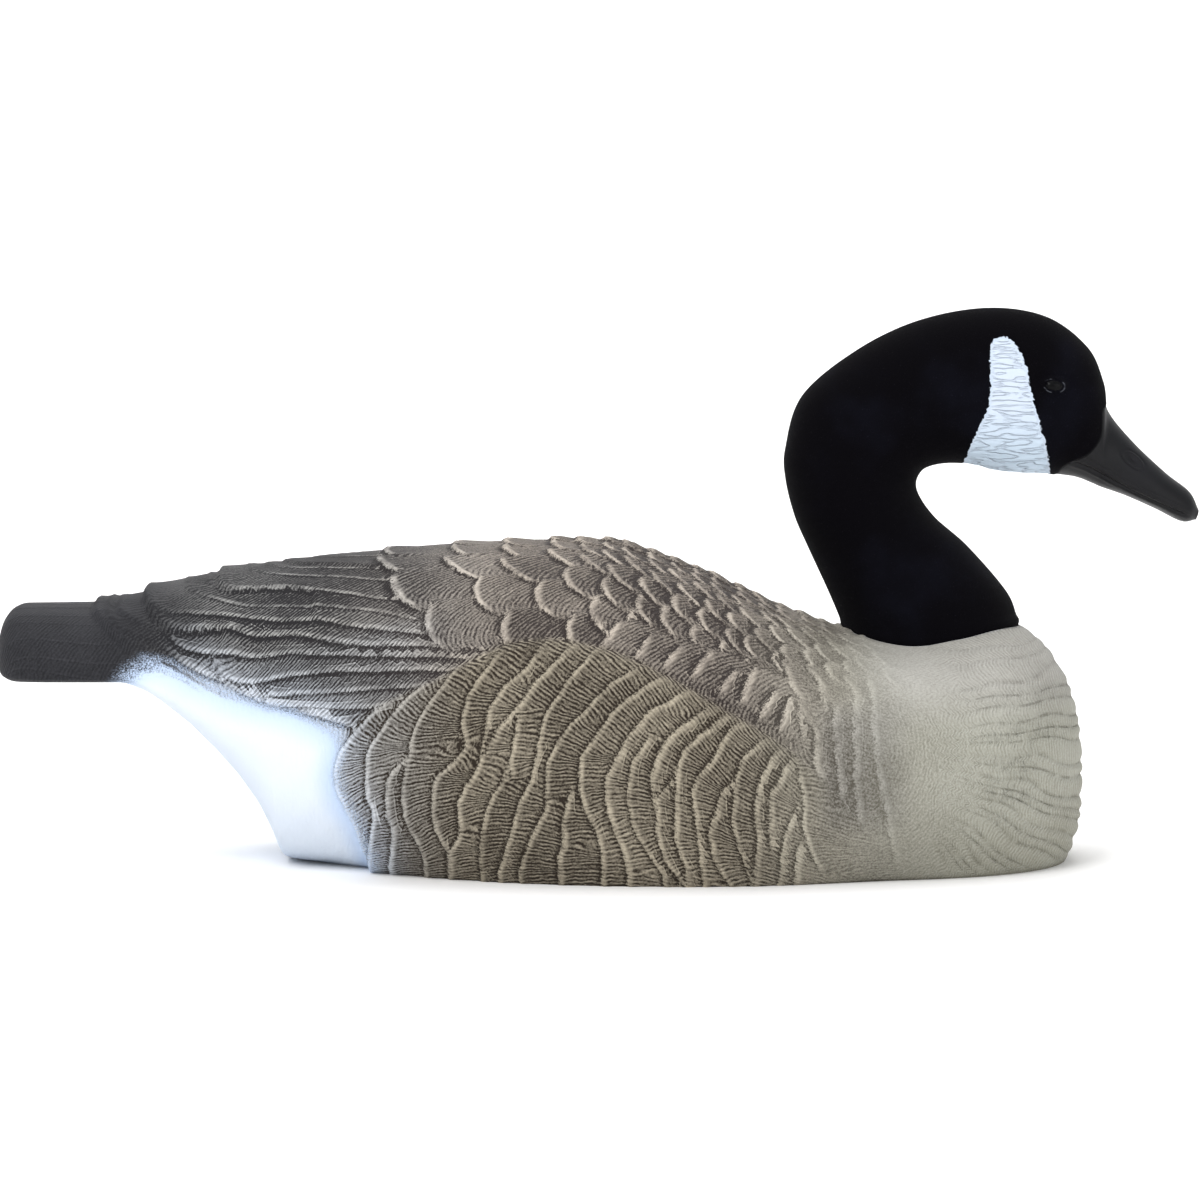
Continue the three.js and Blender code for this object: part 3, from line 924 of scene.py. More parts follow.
class Zone(Enum):
    """Parts of the plumage, each with its own pair of paints."""

    TAIL = PlumagePaint(paint(30, 30, 33), paint(74, 74, 78), 0.30)
    WING = PlumagePaint(paint(36, 35, 37), paint(190, 189, 186), 0.130)
    BACK = PlumagePaint(paint(50, 44, 42), paint(186, 175, 162), 0.225)
    FLANK = PlumagePaint(paint(42, 35, 28), paint(176, 166, 147), 0.27)
    SIDE = PlumagePaint(paint(86, 82, 73), paint(188, 185, 171), 0.35)
    BREAST = PlumagePaint(paint(136, 134, 121), paint(200, 200, 190), 0.36)
    SHOULDER = PlumagePaint(paint(140, 137, 130), paint(202, 200, 193), 0.34)


@dataclass(frozen=True)
class Chart:
    """Half of the skin, unrolled: what holds at each of its places."""

    x: Array
    s: Array
    part: Array
    across: Array
    height: Array
    flank: Array
    rump: Array


@dataclass(frozen=True)
class Touch:
    """A soft patch that covers more or less of the ground, tints the brushed paint, or both."""

    cover: float = 0.0
    tint: Colour = (0.0, 0.0, 0.0)
    strength: float = 0.0
    x: Limits = EVERYWHERE
    s: Limits = EVERYWHERE
    height: Limits = EVERYWHERE
    rump: Limits = EVERYWHERE
    only_flank: bool = False
    off_flank: float = 0.0

    def weight(self, chart: Chart, flank: Array) -> Array:
        """How far the patch reaches each place.

        Args:
            chart: The unrolled half skin.
            flank: Share of the flank at each place.

        Returns:
            Share from 0 to 1.
        """
        share = flank if self.only_flank else 1 - self.off_flank * flank
        for key in ("x", "s", "height", "rump"):
            share = share * window(getattr(chart, key), *getattr(self, key))
        return share


TOUCHES = (
    # The flank: cooler at its rear, darker in its middle and lighter at its front.
    Touch(tint=paint(178, 182, 188), strength=0.55, x=falling(0.215, 0.275), only_flank=True),
    Touch(cover=-0.035, x=(0.255, 0.285, 0.350, 0.380), only_flank=True),
    Touch(cover=0.035, x=rising(0.37, 0.41), only_flank=True),
    # The back darkens towards the shoulder.
    Touch(cover=-0.045, x=(0.27, 0.32, 0.40, 0.45), off_flank=1.0),
    Touch(cover=-0.040, x=(0.34, 0.37, 0.41, 0.45), off_flank=1.0),
    # A dusky patch low down between the flank and the breast.
    Touch(cover=-0.11, tint=paint(182, 182, 190), strength=0.25,
          x=(0.452, 0.468, 0.492, 0.515), height=(0.020, 0.045, 0.085, 0.105)),
    # Painted shade: the breast darkens towards the ground, and so does a narrow line along the
    # keel just above the ground.
    Touch(cover=-0.16, x=rising(0.468, 0.555), height=falling(0.020, 0.060)),
    Touch(cover=-0.25, x=rising(0.22, 0.24), height=falling(0.5 * MM, 2.2 * MM)),
    # White frost drifts from the rump over the wing's lower edge.
    Touch(tint=paint(222, 230, 242), strength=0.92, x=rising(0.09, 0.13),
          rump=rising(-28 * MM, 0.0)),
    Touch(cover=0.10, x=rising(0.09, 0.13), rump=rising(-28 * MM, 0.0), off_flank=0.6),
    Touch(cover=0.14, x=rising(0.10, 0.13), rump=rising(-12 * MM, -1 * MM), off_flank=0.6),
    # The folded wing: dark over the long feathers, with a lighter band below.
    Touch(cover=-0.105, x=falling(0.19, 0.27), s=falling(0.070, 0.105)),
    Touch(cover=0.035, tint=paint(190, 196, 204), strength=0.35,
          x=(0.13, 0.16, 0.22, 0.27), s=rising(0.090, 0.108), off_flank=1.0),
)


@dataclass
class BodyPiece:
    """The moulded body with its carved and painted plumage."""

    form: BodyForm
    plumage: Plumage
    tail_x: float
    rows_tail: int = 30
    rows_middle: int = 300
    rows_breast: int = 54
    columns: int = 118
    tail_reach: float = 0.027
    breast_reach: float = 0.049
    below: float = 0.006
    table_rows: int = 640
    table_turns: int = 420
    rough_girth: float = 0.272
    flank_step: float = 3.6 * MM
    rump_sink: float = 2.6 * MM
    fold_depth: float = 2.0 * MM
    rump_ripple: float = 0.12 * MM
    floor_tuck: float = 0.9 * MM
    fan_x: float = 0.462
    fan_height: float = 0.078
    fan_pitch: float = 0.052
    fan_level: float = 0.15
    breast_span: Pair = (0.468, 0.555)
    written: tuple[str, ...] = (
        "rim", "light", "tone", "comb", "fan", "pitch", "fold", "barb", "cover", "speck", "white",
        "shade", "ground", "brushed",
    )

    def __post_init__(self) -> None:
        """Lays out the chart."""
        self.chart = self.lay_out()

    def row_places(self) -> Array:
        """Distances of the rows from the end of the tail, closer at both rounded ends.

        Returns:
            One distance a row.
        """
        tail = self.tail_reach * (np.arange(self.rows_tail) / self.rows_tail) ** 2.6
        front = self.form.length - self.breast_reach
        middle = np.linspace(self.tail_reach, front, self.rows_middle, endpoint=False)
        left = np.arange(self.rows_breast, -1, -1) / self.rows_breast
        return np.concatenate([tail, middle, self.form.length - self.breast_reach * left**2])

    def girth_tables(self) -> tuple[Array, Array, Array]:
        """Tables along the body of the girth that is meshed, and of even turns.

        Where the keel meets the ground, the girth passes slowly from the whole half section to
        the part above the cut, so that the mesh isn't skewed there.

        Returns:
            Places, the girth at each, and a row of turns at each.
        """
        places = np.linspace(0, self.form.length, self.table_rows)
        turns = np.linspace(0, 1, self.table_turns)
        share = np.linspace(0, 1, self.columns + 1)
        ends, even = [], []
        for x in np.clip(places, 1e-6, self.form.length - 1e-6):
            across, height = self.form.section(np.full_like(turns, x), turns)
            run = np.concatenate([[0], np.cumsum(np.hypot(np.diff(across), np.diff(height)))])
            low = np.nonzero(height < -self.below)[0]
            cut = run[low[0]] if len(low) else run[-1]
            front = ramp(-0.070, -0.0125, x - self.form.length)
            end = mix(run[-1], cut, ramp(0.188, 0.285, x) * (1 - front))
            ends.append(end)
            even.append(np.interp(share * end, run, turns))
        return places, np.array(ends), np.array(even)

    def lean(self, row: Array, share: Array) -> Array:
        """How far the mesh leans towards the head, so that its rows follow the flank.

        Args:
            row: Distance of the row.
            share: Share of the girth.

        Returns:
            Distance in metres.
        """
        s = share * self.rough_girth
        amount = 0.040 * (1 - ramp(0.128, 0.200, s)) + 0.018 * ramp(0.215, self.rough_girth, s)
        return amount * window(row / self.form.length, 0.22, 0.37, 0.77, 0.94)

    def lay_out(self) -> Chart:
        """Unrolls the half skin.

        Returns:
            The chart.
        """
        rows = self.row_places()
        share = np.linspace(0, 1, self.columns + 1)
        places, ends, even = self.girth_tables()
        row, part = np.meshgrid(rows, share, indexing="ij")
        x = row + self.lean(row, part)
        columns = [np.interp(x[:, j], places, even[:, j]) for j in range(x.shape[1])]
        across, height = self.form.section(x, np.stack(columns, axis=1))
        s = part * np.interp(x, places, ends)
        return Chart(x, s, part, across, height, FLANK.depth(x, s), RUMP.depth(x, s))

    def steps(self, x: Array, s: Array) -> Array:
        """Lift of the feather groups that end in a step over the tail and the wing.

        Args:
            x: Distance from the end of the tail.
            s: Distance round the girth.

        Returns:
            Height in metres.
        """
        lift = np.zeros_like(x)
        for line, rise, fade in STEPS:
            along = x - traced(line)(s)
            edge = ramp(-1.2 * MM, 1.2 * MM, along)
            lift += edge * rise * MM * (1 - np.clip(along / fade, 0, 1)) ** 1.5
        return lift * (1 - ramp(0.045, 0.10, s))

    def carve(self) -> dict[str, Array]:
        """Carves and marks every feather on the chart.

        Returns:
            Relief in metres, and the marks for the paint.
        """
        x, s = self.chart.x, self.chart.s
        plate = ramp(-1.5 * MM, 6 * MM, self.chart.flank) * (1 - ramp(0.42, 0.50, x))
        sunk = ramp(-1.5 * MM, 2.5 * MM, self.chart.rump) * ramp(0.07, 0.11, x)
        base = plate * self.flank_step - sunk * self.rump_sink
        start = {"relief": base, "rim": 9.0, "light": 0.0, "tone": 0.5, "gain": 0.8, "comb": 0.3}
        marks = {key: np.full_like(x, value) for key, value in start.items()}
        for feather in self.plumage.feathers:
            self.carve_feather(feather, base, marks)
        fan, pitch, fold = self.breast_folds()
        bumps = (np.abs(np.sin(fan * math.pi)) ** 0.7 - 0.75) * fold * self.fold_depth
        faint = np.sin((x * 0.55 + s * 0.9) / 0.0042 + 2.0 * np.sin(x / 0.03))
        faint = faint * ramp(2 * MM, 14 * MM, self.chart.rump) * self.rump_ripple
        marks["relief"] = marks["relief"] + bumps + faint
        marks["rim"] = np.clip(marks["rim"], -4, 9)
        return {**marks, "fan": fan, "pitch": pitch / MM, "fold": fold}

    def carve_feather(self, feather: Feather, base: Array, marks: dict[str, Array]) -> None:
        """Carves one feather over those below it, and marks it for the paint.

        Args:
            feather: The feather.
            base: Relief without any feather.
            marks: Relief and marks so far, which are changed.
        """
        near = feather.near(self.chart.x, self.chart.s)
        x, s = self.chart.x[near], self.chart.s[near]
        trace = feather.trace(x, s)
        if isinstance(feather, Ridge) and feather.order > FLANK_ORDER:
            fresh = np.maximum(ramp(0.0, 16 * MM, s - ARCH(x)), 1 - ramp(0.240, 0.290, x))
            trace.light = trace.light * mix(0.15, 1.0, fresh)
            trace.lift = mix(0.35, 1.0, fresh)
        within = self.plumage.within(feather, trace, x, self.chart.flank[near])
        cover = within * ramp(-feather.soft, feather.soft, trace.depth)
        covered = {"relief": base[near] + feather.relief(trace), "tone": 0.5 + 0.5 * feather.tone,
                   "gain": feather.gain(trace.depth)}
        for key, value in covered.items():
            marks[key][near] = mix(marks[key][near], value, cover)
        off = trace.depth / feather.width
        closer = (off > -2.0) & (-off < np.abs(marks["rim"][near]))
        takes = (within > 0.25) & ((off >= 0) | closer)
        fade = np.where(off > 0, 1 - ramp(1.7, 2.6, off), 1 - ramp(0.9, 1.7, -off))
        taken = {"rim": off, "light": trace.light * within * fade, "comb": feather.comb}
        for key, value in taken.items():
            marks[key][near] = np.where(takes, value, marks[key][near])

    def fan_place(self, x: Array, across: Array, height: Array) -> tuple[Array, Array]:
        """Distances ahead of and below the point that the folds of the breast fan out from."""
        return x - self.fan_x + 0.25 * np.clip(0.118 - across, 0, 1), self.fan_height - height

    def breast_folds(self) -> tuple[Array, Array, Array]:
        """Folds that fan out over the breast: their count, their pitch and their strength.

        Returns:
            All three at each place.
        """
        x, height = self.chart.x, self.chart.height
        out, down = self.fan_place(x, self.chart.across, height)
        turn = np.where(down > 0, np.arctan2(down, np.maximum(out, 1e-4)), down / self.fan_level)
        spread = np.hypot(out, down)
        away = np.hypot(x - self.fan_x, down)
        waver = 0.16 * np.sin(away / 0.0062 + turn * 9) + 0.22 * np.sin(away / 0.015 + turn * 5)
        count = turn / self.fan_pitch
        count = count + 0.20 * np.sin(count * 2.3) + 0.24 * np.sin(count * 0.9 + 1) + waver
        pitch = self.fan_pitch * np.where(down > 0, spread, self.fan_level)
        strength = ramp(0.055, 0.120, spread) * ramp(0.500, 0.550, x) * ramp(0.0, 0.010, height)
        return count, pitch, strength * (1 - 0.55 * ramp(0.100, 0.125, height))

    def flank_share(self) -> Array:
        """Share of the flank's paint at each place."""
        return ramp(-3 * MM, 3 * MM, self.chart.flank)

    def paints(self) -> dict[str, Array]:
        """Ground and brushed paint at each place, and how much the brush covers.

        Returns:
            The three marks, by name.
        """
        x, s, height = self.chart.x, self.chart.s, self.chart.height
        flank = self.flank_share()
        weights = (
            (Zone.BACK, np.ones_like(x)),
            (Zone.WING, 1 - ramp(0.15, 0.31, x)),
            (Zone.TAIL, 1 - ramp(0.07, 0.15, x)),
            (Zone.FLANK, flank),
            (Zone.SIDE, ramp(0.398, 0.500, x - 0.022 * (1 - ramp(0.02, 0.07, s)))),
            (Zone.BREAST, ramp(*self.breast_span, x)),
            (Zone.SHOULDER, ramp(0.465, 0.515, x) * ramp(0.075, 0.115, height)),
        )
        cover = np.zeros_like(x)
        ground = np.zeros((*x.shape, 3))
        brushed = ground
        for zone, weight in weights:
            ground = mix(ground, np.array(zone.value.ground), weight[..., None])
            brushed = mix(brushed, np.array(zone.value.brushed), weight[..., None])
            cover = mix(cover, zone.value.cover, weight)
        for touch in TOUCHES:
            weight = touch.weight(self.chart, flank)
            cover = cover + touch.cover * weight
            brushed = mix(brushed, np.array(touch.tint), (touch.strength * weight)[..., None])
        return {"ground": ground, "brushed": brushed, "cover": cover}

    def spray(self) -> dict[str, Array]:
        """How much white is sprayed over the rump at each place, and how much bluish painted shade
        lies on it.

        Returns:
            Both marks, by name.
        """
        x, rump = self.chart.x, self.chart.rump
        front = ramp(0.185, 0.20, x)
        soft = mix(5 * MM, 12 * MM, 1 - ramp(0.070, 0.105, x)) + 4 * MM * front
        white = np.clip(0.5 + (rump + 2 * MM * front) / (2 * soft), 0, 1)
        for line, strength in STREAKS:
            first, last = line[0][0] * MM, line[-1][0] * MM
            share = window(x, first, first + 10 * MM, last - 15 * MM, last)
            share = share * bell(self.chart.s, traced(line)(x), 1.3 * MM)
            white = white - strength * share * (white > 0.5)
        # Bluish painted shade along the border of the white, and low along the keel where the rump
        # turns under.
        keel = 0.55 * ramp(0.76, 0.97, self.chart.part) * (1 - ramp(0.235, 0.26, x))
        return {"white": white, "shade": np.maximum(1 - ramp(1 * MM, 17 * MM, rump), keel)}

    def grain(self, white: Array) -> dict[str, Array]:
        """How clear the barbs are at each place, and how specked the paint is.

        Args:
            white: How much white is sprayed there.

        Returns:
            Both marks, by name.
        """
        x = self.chart.x
        flank = self.flank_share()
        barb = 0.9 - 0.40 * ramp(0.40, 0.48, x) - 0.60 * (1 - ramp(0.08, 0.14, x)) + 0.1 * flank
        barb = np.maximum(barb, 0.25) * (1 - 0.75 * white)
        barb = barb * (1 - 0.45 * window(x, 0.438, 0.470, 0.50, 0.54))
        off_spine = np.maximum(ramp(0.012, 0.040, self.chart.s), ramp(0.200, 0.225, x))
        speck = 0.20 - 0.08 * ramp(*self.breast_span, x) - 0.07 * (1 - ramp(0.19, 0.25, x))
        return {"barb": barb * mix(0.15, 1.0, off_spine), "speck": speck}

    def skin(self) -> Mesh:
        """Half of the skin as a mesh, carved and marked.

        Returns:
            The mesh.
        """
        grid = bmesh.new()
        rows = len(self.row_places()) - 1
        bmesh.ops.create_grid(grid, x_segments=rows, y_segments=self.columns, size=0.5)
        mesh = settle(grid, bpy.data.meshes.new("goose_body"))
        flat = np.empty(len(mesh.vertices) * 3)
        mesh.vertices.foreach_get("co", flat)
        flat = flat.reshape(-1, 3) + 0.5
        i = np.rint(flat[:, 0] * rows).astype(int)
        j = np.rint(flat[:, 1] * self.columns).astype(int)
        marks = {**self.carve(), **self.paints(), **self.spray()}
        marks |= self.grain(marks["white"])
        marks["barb"] = marks["barb"] * marks["gain"]
        mesh.vertices.foreach_set("co", self.place(marks["relief"])[i, j].ravel())
        write_marks(mesh, {name: marks[name][i, j] for name in self.written})
        self.lay_barbs(mesh, i, j)
        return mesh

    def place(self, relief: Array) -> Array:
        """Vertex places: the plain skin raised along its normals by the relief.

        Args:
            relief: Height above the plain skin.

        Returns:
            One place a row of the last axis.
        """
        x, across = self.chart.x, self.chart.across
        lifted = self.chart.height + self.steps(x, self.chart.s)
        points = np.stack([x + self.tail_x, across, lifted], axis=-1)
        normal = np.cross(np.gradient(points, axis=0), np.gradient(points, axis=1))
        normal[:, 0, 1] = 0.0
        normal[-1] = (1.0, 0.0, 0.0)
        normal = normal / np.maximum(np.linalg.norm(normal, axis=-1, keepdims=True), 1e-12)
        points = points + normal * (relief * ramp(0.0, 4 * MM, x))[..., None]
        tuck = ramp(2.4 * MM, 0.0, points[..., 2]) * self.floor_tuck
        points[..., 1] -= np.minimum(tuck, np.abs(points[..., 1]))
        points[:, 0, 1] = 0.0
        points[across[:, -1] < 0.2 * MM, -1, 1] = 0.0
        return points

    def lay_barbs(self, mesh: Mesh, i: Array, j: Array) -> None:
        """Lays the fine barbs of each feather into the UV map, face by face.

        Args:
            mesh: The half skin.
            i: Row of each vertex on the chart.
            j: Column of each vertex on the chart.
        """
        corners = np.empty(len(mesh.loops), int)
        mesh.loops.foreach_get("vertex_index", corners)
        corners = corners.reshape(-1, 4)
        chart = self.chart
        x, s, across, height = (
            values[i, j][corners] for values in (chart.x, chart.s, chart.across, chart.height))
        middle_x, middle_s = x.mean(axis=1), s.mean(axis=1)
        owner = np.full(len(corners), -1)
        flank = FLANK.depth(middle_x, middle_s)
        for k, feather in enumerate(self.plumage.feathers):
            near = np.nonzero(feather.near(middle_x, middle_s))[0]
            trace = feather.trace(middle_x[near], middle_s[near])
            within = self.plumage.within(feather, trace, middle_x[near], flank[near])
            owner[near[(within > 0.3) & (trace.depth > -1.2 * MM)]] = k
        run, side = np.hypot(*self.fan_place(x, across, height)), s.copy()
        creases = np.abs(np.sin(math.pi * self.breast_folds()[0][i, j][corners]))
        run += 4 * MM * creases * ramp(0.50, 0.54, x)
        for k, feather in enumerate(self.plumage.feathers):
            own = np.nonzero(owner == k)[0]
            trace = feather.trace(x[own], s[own])
            run[own], side[own] = trace.run, trace.depth
        layer = mesh.uv_layers.new(name="barbs")
        layer.data.foreach_set("uv", np.stack([run / MM, side / MM], axis=-1).ravel())

    def build(self) -> Piece:
        """The whole body: both halves joined, cut flat underneath and closed.

        Returns:
            The object.
        """
        mesh = self.skin()
        body = bmesh.new()
        body.from_mesh(mesh)
        bmesh.ops.remove_doubles(body, verts=body.verts, dist=MERGE)
        mirror_half(body)
        bmesh.ops.bisect_plane(body, geom=everything(body), dist=1e-6, plane_co=(0, 0, 0),
                               plane_no=(0, 0, -1), clear_outer=True)
        bmesh.ops.recalc_face_normals(body, faces=body.faces)
        smooth_faces(body)
        rim, floor = close_holes(body)
        for face in floor:
            face.smooth = False
            face.material_index = 1
        for edge in rim:
            edge.smooth = False
        bmesh.ops.triangulate(body, faces=floor)
        bmesh.ops.recalc_face_normals(body, faces=body.faces)
        return stand("goose_body", settle(body, mesh))


# The neck and head piece.


@dataclass(frozen=True)
class HeadForm:
    """Neck, head and bill as rings along a bent line, the same as the solid's."""

    height: float = 0.180
    setback: float = 0.0853
    neck_length: float = 0.0985
    neck_width: float = 0.086
    head_width: float = 0.064
    bill_width: float = 0.041
    plug: float = 0.017
    seat_lift: float = 0.0026
    round_neck: float = 2.15
    round_bill_top: float = 1.9
    round_bill_under: float = 2.6
    bill_start: Pair = (0.72, 0.82)

    def rows(self) -> Array:
        """Lines over the back and the throat, half widths and widest shares, in metres.

        Returns:
            One row for each ring.
        """
        neck, head, bill = self.neck_width, self.head_width, self.bill_width
        foot = self.neck_length / 2 / self.height
        rows = np.array([
            (-foot, -0.011, foot, 0.022, neck, 0.5, 0.5),
            (-0.325, 0.109, 0.237, 0.109, neck, 0.47, 0.5),
            (-0.391, 0.251, 0.114, 0.251, neck, 0.43, 0.5),
            (-0.432, 0.346, 0.007, 0.346, neck, 0.405, 0.5),
            (-0.461, 0.461, -0.047, 0.43, neck, 0.385, 0.5),
            (-0.462, 0.56, -0.034, 0.485, neck, 0.372, 0.5),
            (-0.409, 0.725, 0.014, 0.507, head, 0.49, 0.5),
            (-0.239, 0.867, 0.085, 0.511, head, 0.485, 0.52),
            (-0.043, 0.961, 0.152, 0.499, head, 0.49, 0.56),
            (0.174, 1, 0.234, 0.482, head, 0.5, 0.58),
            (0.357, 0.972, 0.346, 0.478, head, 0.49, 0.58),
            (0.485, 0.878, 0.446, 0.467, head, 0.44, 0.58),
            (0.535, 0.772, 0.502, 0.447, head, 0.37, 0.6),
            (0.552, 0.683, 0.535, 0.433, bill, 0.5, 0.64),
            (0.629, 0.586, 0.613, 0.4056, bill, 0.46, 0.66),
            (0.735, 0.486, 0.707, 0.364, bill, 0.42, 0.66),
            (0.8125, 0.425, 0.785, 0.326, bill, 0.32, 0.6),
            (0.843, 0.367, 0.831, 0.3306, bill, 0.14, 0.5),
        ])
        rows[:, :4] *= self.height
        rows[:, 4] *= rows[:, 5]
        return rows

    def point(self, along: Array, turn: Array, grown: float = 0.0) -> Array:
        """Points of the surface, from the seat of the neck.

        Args:
            along: Share of the length, from the seat to the tip of the bill.
            turn: Share of the half turn, from the back or top to the throat or underside.
            grown: How far outside the surface the points lie.

        Returns:
            Places, one in each row of the last axis.
        """
        rows = self.rows()
        top, under = spline(rows[:, 0:2], along), spline(rows[:, 2:4], along)
        width = spline(np.stack([rows[:, 4], rows[:, 6]], axis=1), along)
        half, widest = width[..., 0], width[..., 1]
        bill = np.where(turn < 0.5, self.round_bill_top, self.round_bill_under)
        power = mix(self.round_neck, bill, ramp(*self.bill_start, along))
        angle = turn * math.pi
        rise = np.abs(np.cos(angle)) ** (2 / power)
        share = np.where(turn < 0.5, widest * (1 - rise), widest + (1 - widest) * rise)
        span = np.linalg.norm(under - top, axis=-1)
        share = mix(-grown / span, 1 + grown / span, share)
        across = (half + grown) * np.abs(np.sin(angle)) ** (2 / power)
        middle = mix(top, under, share[..., None])
        return np.stack([middle[..., 0], across, middle[..., 1]], axis=-1)


# Outlines on the side of the head, X and Z in millimetres.

CHEEK = Outline([
    (221, 294.2), (225.5, 295.4), (230, 293.6), (234, 288), (237.5, 279), (240.3, 266),
    (243.6, 253), (247.4, 241), (250.4, 231), (252.8, 222), (254, 212), (238, 208), (216, 208),
    (204.5, 215), (205.2, 224), (207.4, 233.5), (210, 240), (213.4, 248), (216.6, 256), (218, 266),
    (218, 279), (218.4, 290),
])
BILL = Outline([
    (286.6, 258), (282.2, 255), (281.6, 248), (281.0, 241.5), (277.8, 235.2), (272.6, 229.6),
    (266.4, 226.6), (261.6, 223.8), (258.6, 219.5), (258, 206), (300, 180), (350, 180), (350, 240),
    (300, 262),
])


@dataclass
class HeadPiece:
    """The flocked neck and head with its bill."""

    form: HeadForm
    body: BodyForm
    tail_x: float
    rows: int = 250
    plug_rows: int = 12
    columns: int = 92
    cutter_rows: int = 24
    cutter_reach: float = 0.16
    seat_gap: float = 0.3 * MM
    inset: float = 0.1 * MM
    bill_sunk: float = 0.45 * MM
    cheek_sunk: float = 0.35 * MM
    foot_bulge: float = 0.8 * MM
    foot_top: float = 0.16
    cheek_foot: float = 0.214
    fine_above: float = 0.17

    def seat(self) -> Array:
        """Middle of the neck seat."""
        x = self.body.length - self.form.setback
        height = float(self.body.back(x / self.body.length)) * self.body.back_height
        return np.array([x + self.tail_x, 0.0, height + self.form.seat_lift])

    def places(self, rows: int, last: float, grown: float) -> Array:
        """Rings of half the neck and head, from the foot of its plug upwards.

        Args:
            rows: How many rings there are above the seat.
            last: Share of the length at which they stop.
            grown: How far outside the surface they lie.

        Returns:
            Places by ring and by turn.
        """
        along = np.linspace(0, last, rows + 1)
        turn = np.linspace(0, 1, self.columns + 1)
        a, t = np.meshgrid(along, turn, indexing="ij")
        skin = self.form.point(a, t, grown)
        drops = np.linspace(self.form.plug + grown, 0, self.plug_rows, endpoint=False)
        foot = np.stack([skin[0] - np.array([0, 0, drop]) for drop in drops])
        return np.concatenate([foot, skin]) + self.seat()

    def shell(self, name: str, places: Array) -> Mesh:
        """A closed skin over half rings, mirrored, with both ends filled.

        Args:
            name: Name of the mesh.
            places: Half rings, by ring and by turn.

        Returns:
            The mesh.
        """
        shell = bmesh.new()
        rows, columns = places.shape[0] - 1, places.shape[1] - 1
        bmesh.ops.create_grid(shell, x_segments=rows, y_segments=columns, size=0.5)
        for vert in shell.verts:
            i = round((vert.co.x + 0.5) * rows)
            j = round((vert.co.y + 0.5) * columns)
            vert.co = places[i, j]
        mirror_half(shell)
        _, ends = close_holes(shell)
        bmesh.ops.triangulate(shell, faces=ends)
        bmesh.ops.recalc_face_normals(shell, faces=shell.faces)
        smooth_faces(shell)
        return settle(shell, bpy.data.meshes.new(name))

    def cutter(self) -> Piece:
        """The room that the plug of the neck takes in the body."""
        places = self.places(self.cutter_rows, self.cutter_reach, self.seat_gap)
        return stand("neck_pocket", self.shell("neck_pocket", places))

    def refine(self, mesh: Mesh) -> None:
        """Makes the mesh finer round the eyes, the nostrils, the mouth and the borders.

        Args:
            mesh: The head's mesh.
        """
        fine = bmesh.new()
        fine.from_mesh(mesh)
        centres = np.array([face.calc_center_median() for face in fine.faces])
        x, z = centres[:, 0], centres[:, 2]
        eye = np.hypot((x - EYE.x) / 1.5, z - EYE.z) < 7.5 * MM
        border = np.abs(CHEEK.depth(x, z)) < 1.6 * MM
        bill = (np.abs(BILL.depth(x, z)) < 1.4 * MM) | (BILL.depth(x, z) > 0)
        chosen = (eye | border | bill) & (z > self.fine_above)
        edges = {edge for face, take in zip(fine.faces, chosen) if take for edge in face.edges}
        bmesh.ops.subdivide_edges(fine, edges=list(edges), cuts=1, use_grid_fill=True)
        bmesh.ops.triangulate(fine, faces=[face for face in fine.faces if len(face.verts) > 4])
        settle(fine, mesh)

    def carve(self, mesh: Mesh) -> None:
        """Raises the eyes and their lids, cuts the nostrils and the mouth, rounds the flock.

        Args:
            mesh: The head's mesh.
        """
        co, normal = np.empty((2, len(mesh.vertices) * 3))
        mesh.vertices.foreach_get("co", co)
        mesh.vertex_normals.foreach_get("vector", normal)
        co, normal = co.reshape(-1, 3), normal.reshape(-1, 3)
        x, z = co[:, 0], co[:, 2]
        side = ramp(0.25, 0.6, np.abs(normal[:, 1]))
        cheek, bill = CHEEK.depth(x, z), BILL.depth(x, z)
        cheek = np.where(z < self.cheek_foot, -np.abs(cheek) - 2 * MM, cheek)
        gap = z - self.body.top_at(x - self.tail_x, co[:, 1])
        bulge = self.foot_bulge * bell(gap, 2.2 * MM, 2.2 * MM) * (z < self.foot_top)
        on_bill = (NOSTRIL.relief(x, z) + MOUTH.relief(x, z)) * ramp(0, 2 * MM, bill)
        relief = side * (EYE.relief(x, z) + on_bill) + bulge
        relief += self.cheek_grooves(x, z) * ramp(0, 2.5 * MM, cheek)
        relief -= self.bill_sunk * ramp(-0.7 * MM, 0.7 * MM, bill)
        relief -= self.cheek_sunk * ramp(-0.7 * MM, 0.7 * MM, cheek)
        co += normal * relief[:, None]
        mesh.vertices.foreach_set("co", co.ravel())
        write_marks(mesh, {"cheek": cheek / MM, "bill": bill / MM,
                           "eye": np.where(side > 0.2, EYE.depth(x, z) / MM, -9.0)})

    def cheek_grooves(self, x: Array, z: Array) -> Array:
        """Wavy level furrows across the white cheek, deeper lower down.

        Args:
            x: X of each place.
            z: Height of each place.

        Returns:
            Height in metres.
        """
        low = 1 - ramp(0.228, 0.262, z)
        wave = 1.1 * np.sin(x / 0.0062 + 40 * z) + 0.8 * np.sin(x / 0.0027 + 3 + 90 * z)
        return (0.09 + 0.13 * low) * MM * np.sin(z / 0.00048 + wave)

    def split(self, mesh: Mesh) -> None:
        """Gives each face the material of its place: flock, cheek, bill or eye.

        Args:
            mesh: The head's mesh.
        """
        index = np.zeros(len(mesh.polygons), int)
        for slot, (name, margin) in enumerate((("cheek", 0.6), ("bill", 0.6), ("eye", 0.0)), 1):
            values = np.empty(len(mesh.vertices), np.float32)
            mesh.attributes[name].data.foreach_get("value", values)
            least = np.array([values[list(face.vertices)].min() for face in mesh.polygons])
            index[least > margin] = slot
        mesh.polygons.foreach_set("material_index", index)

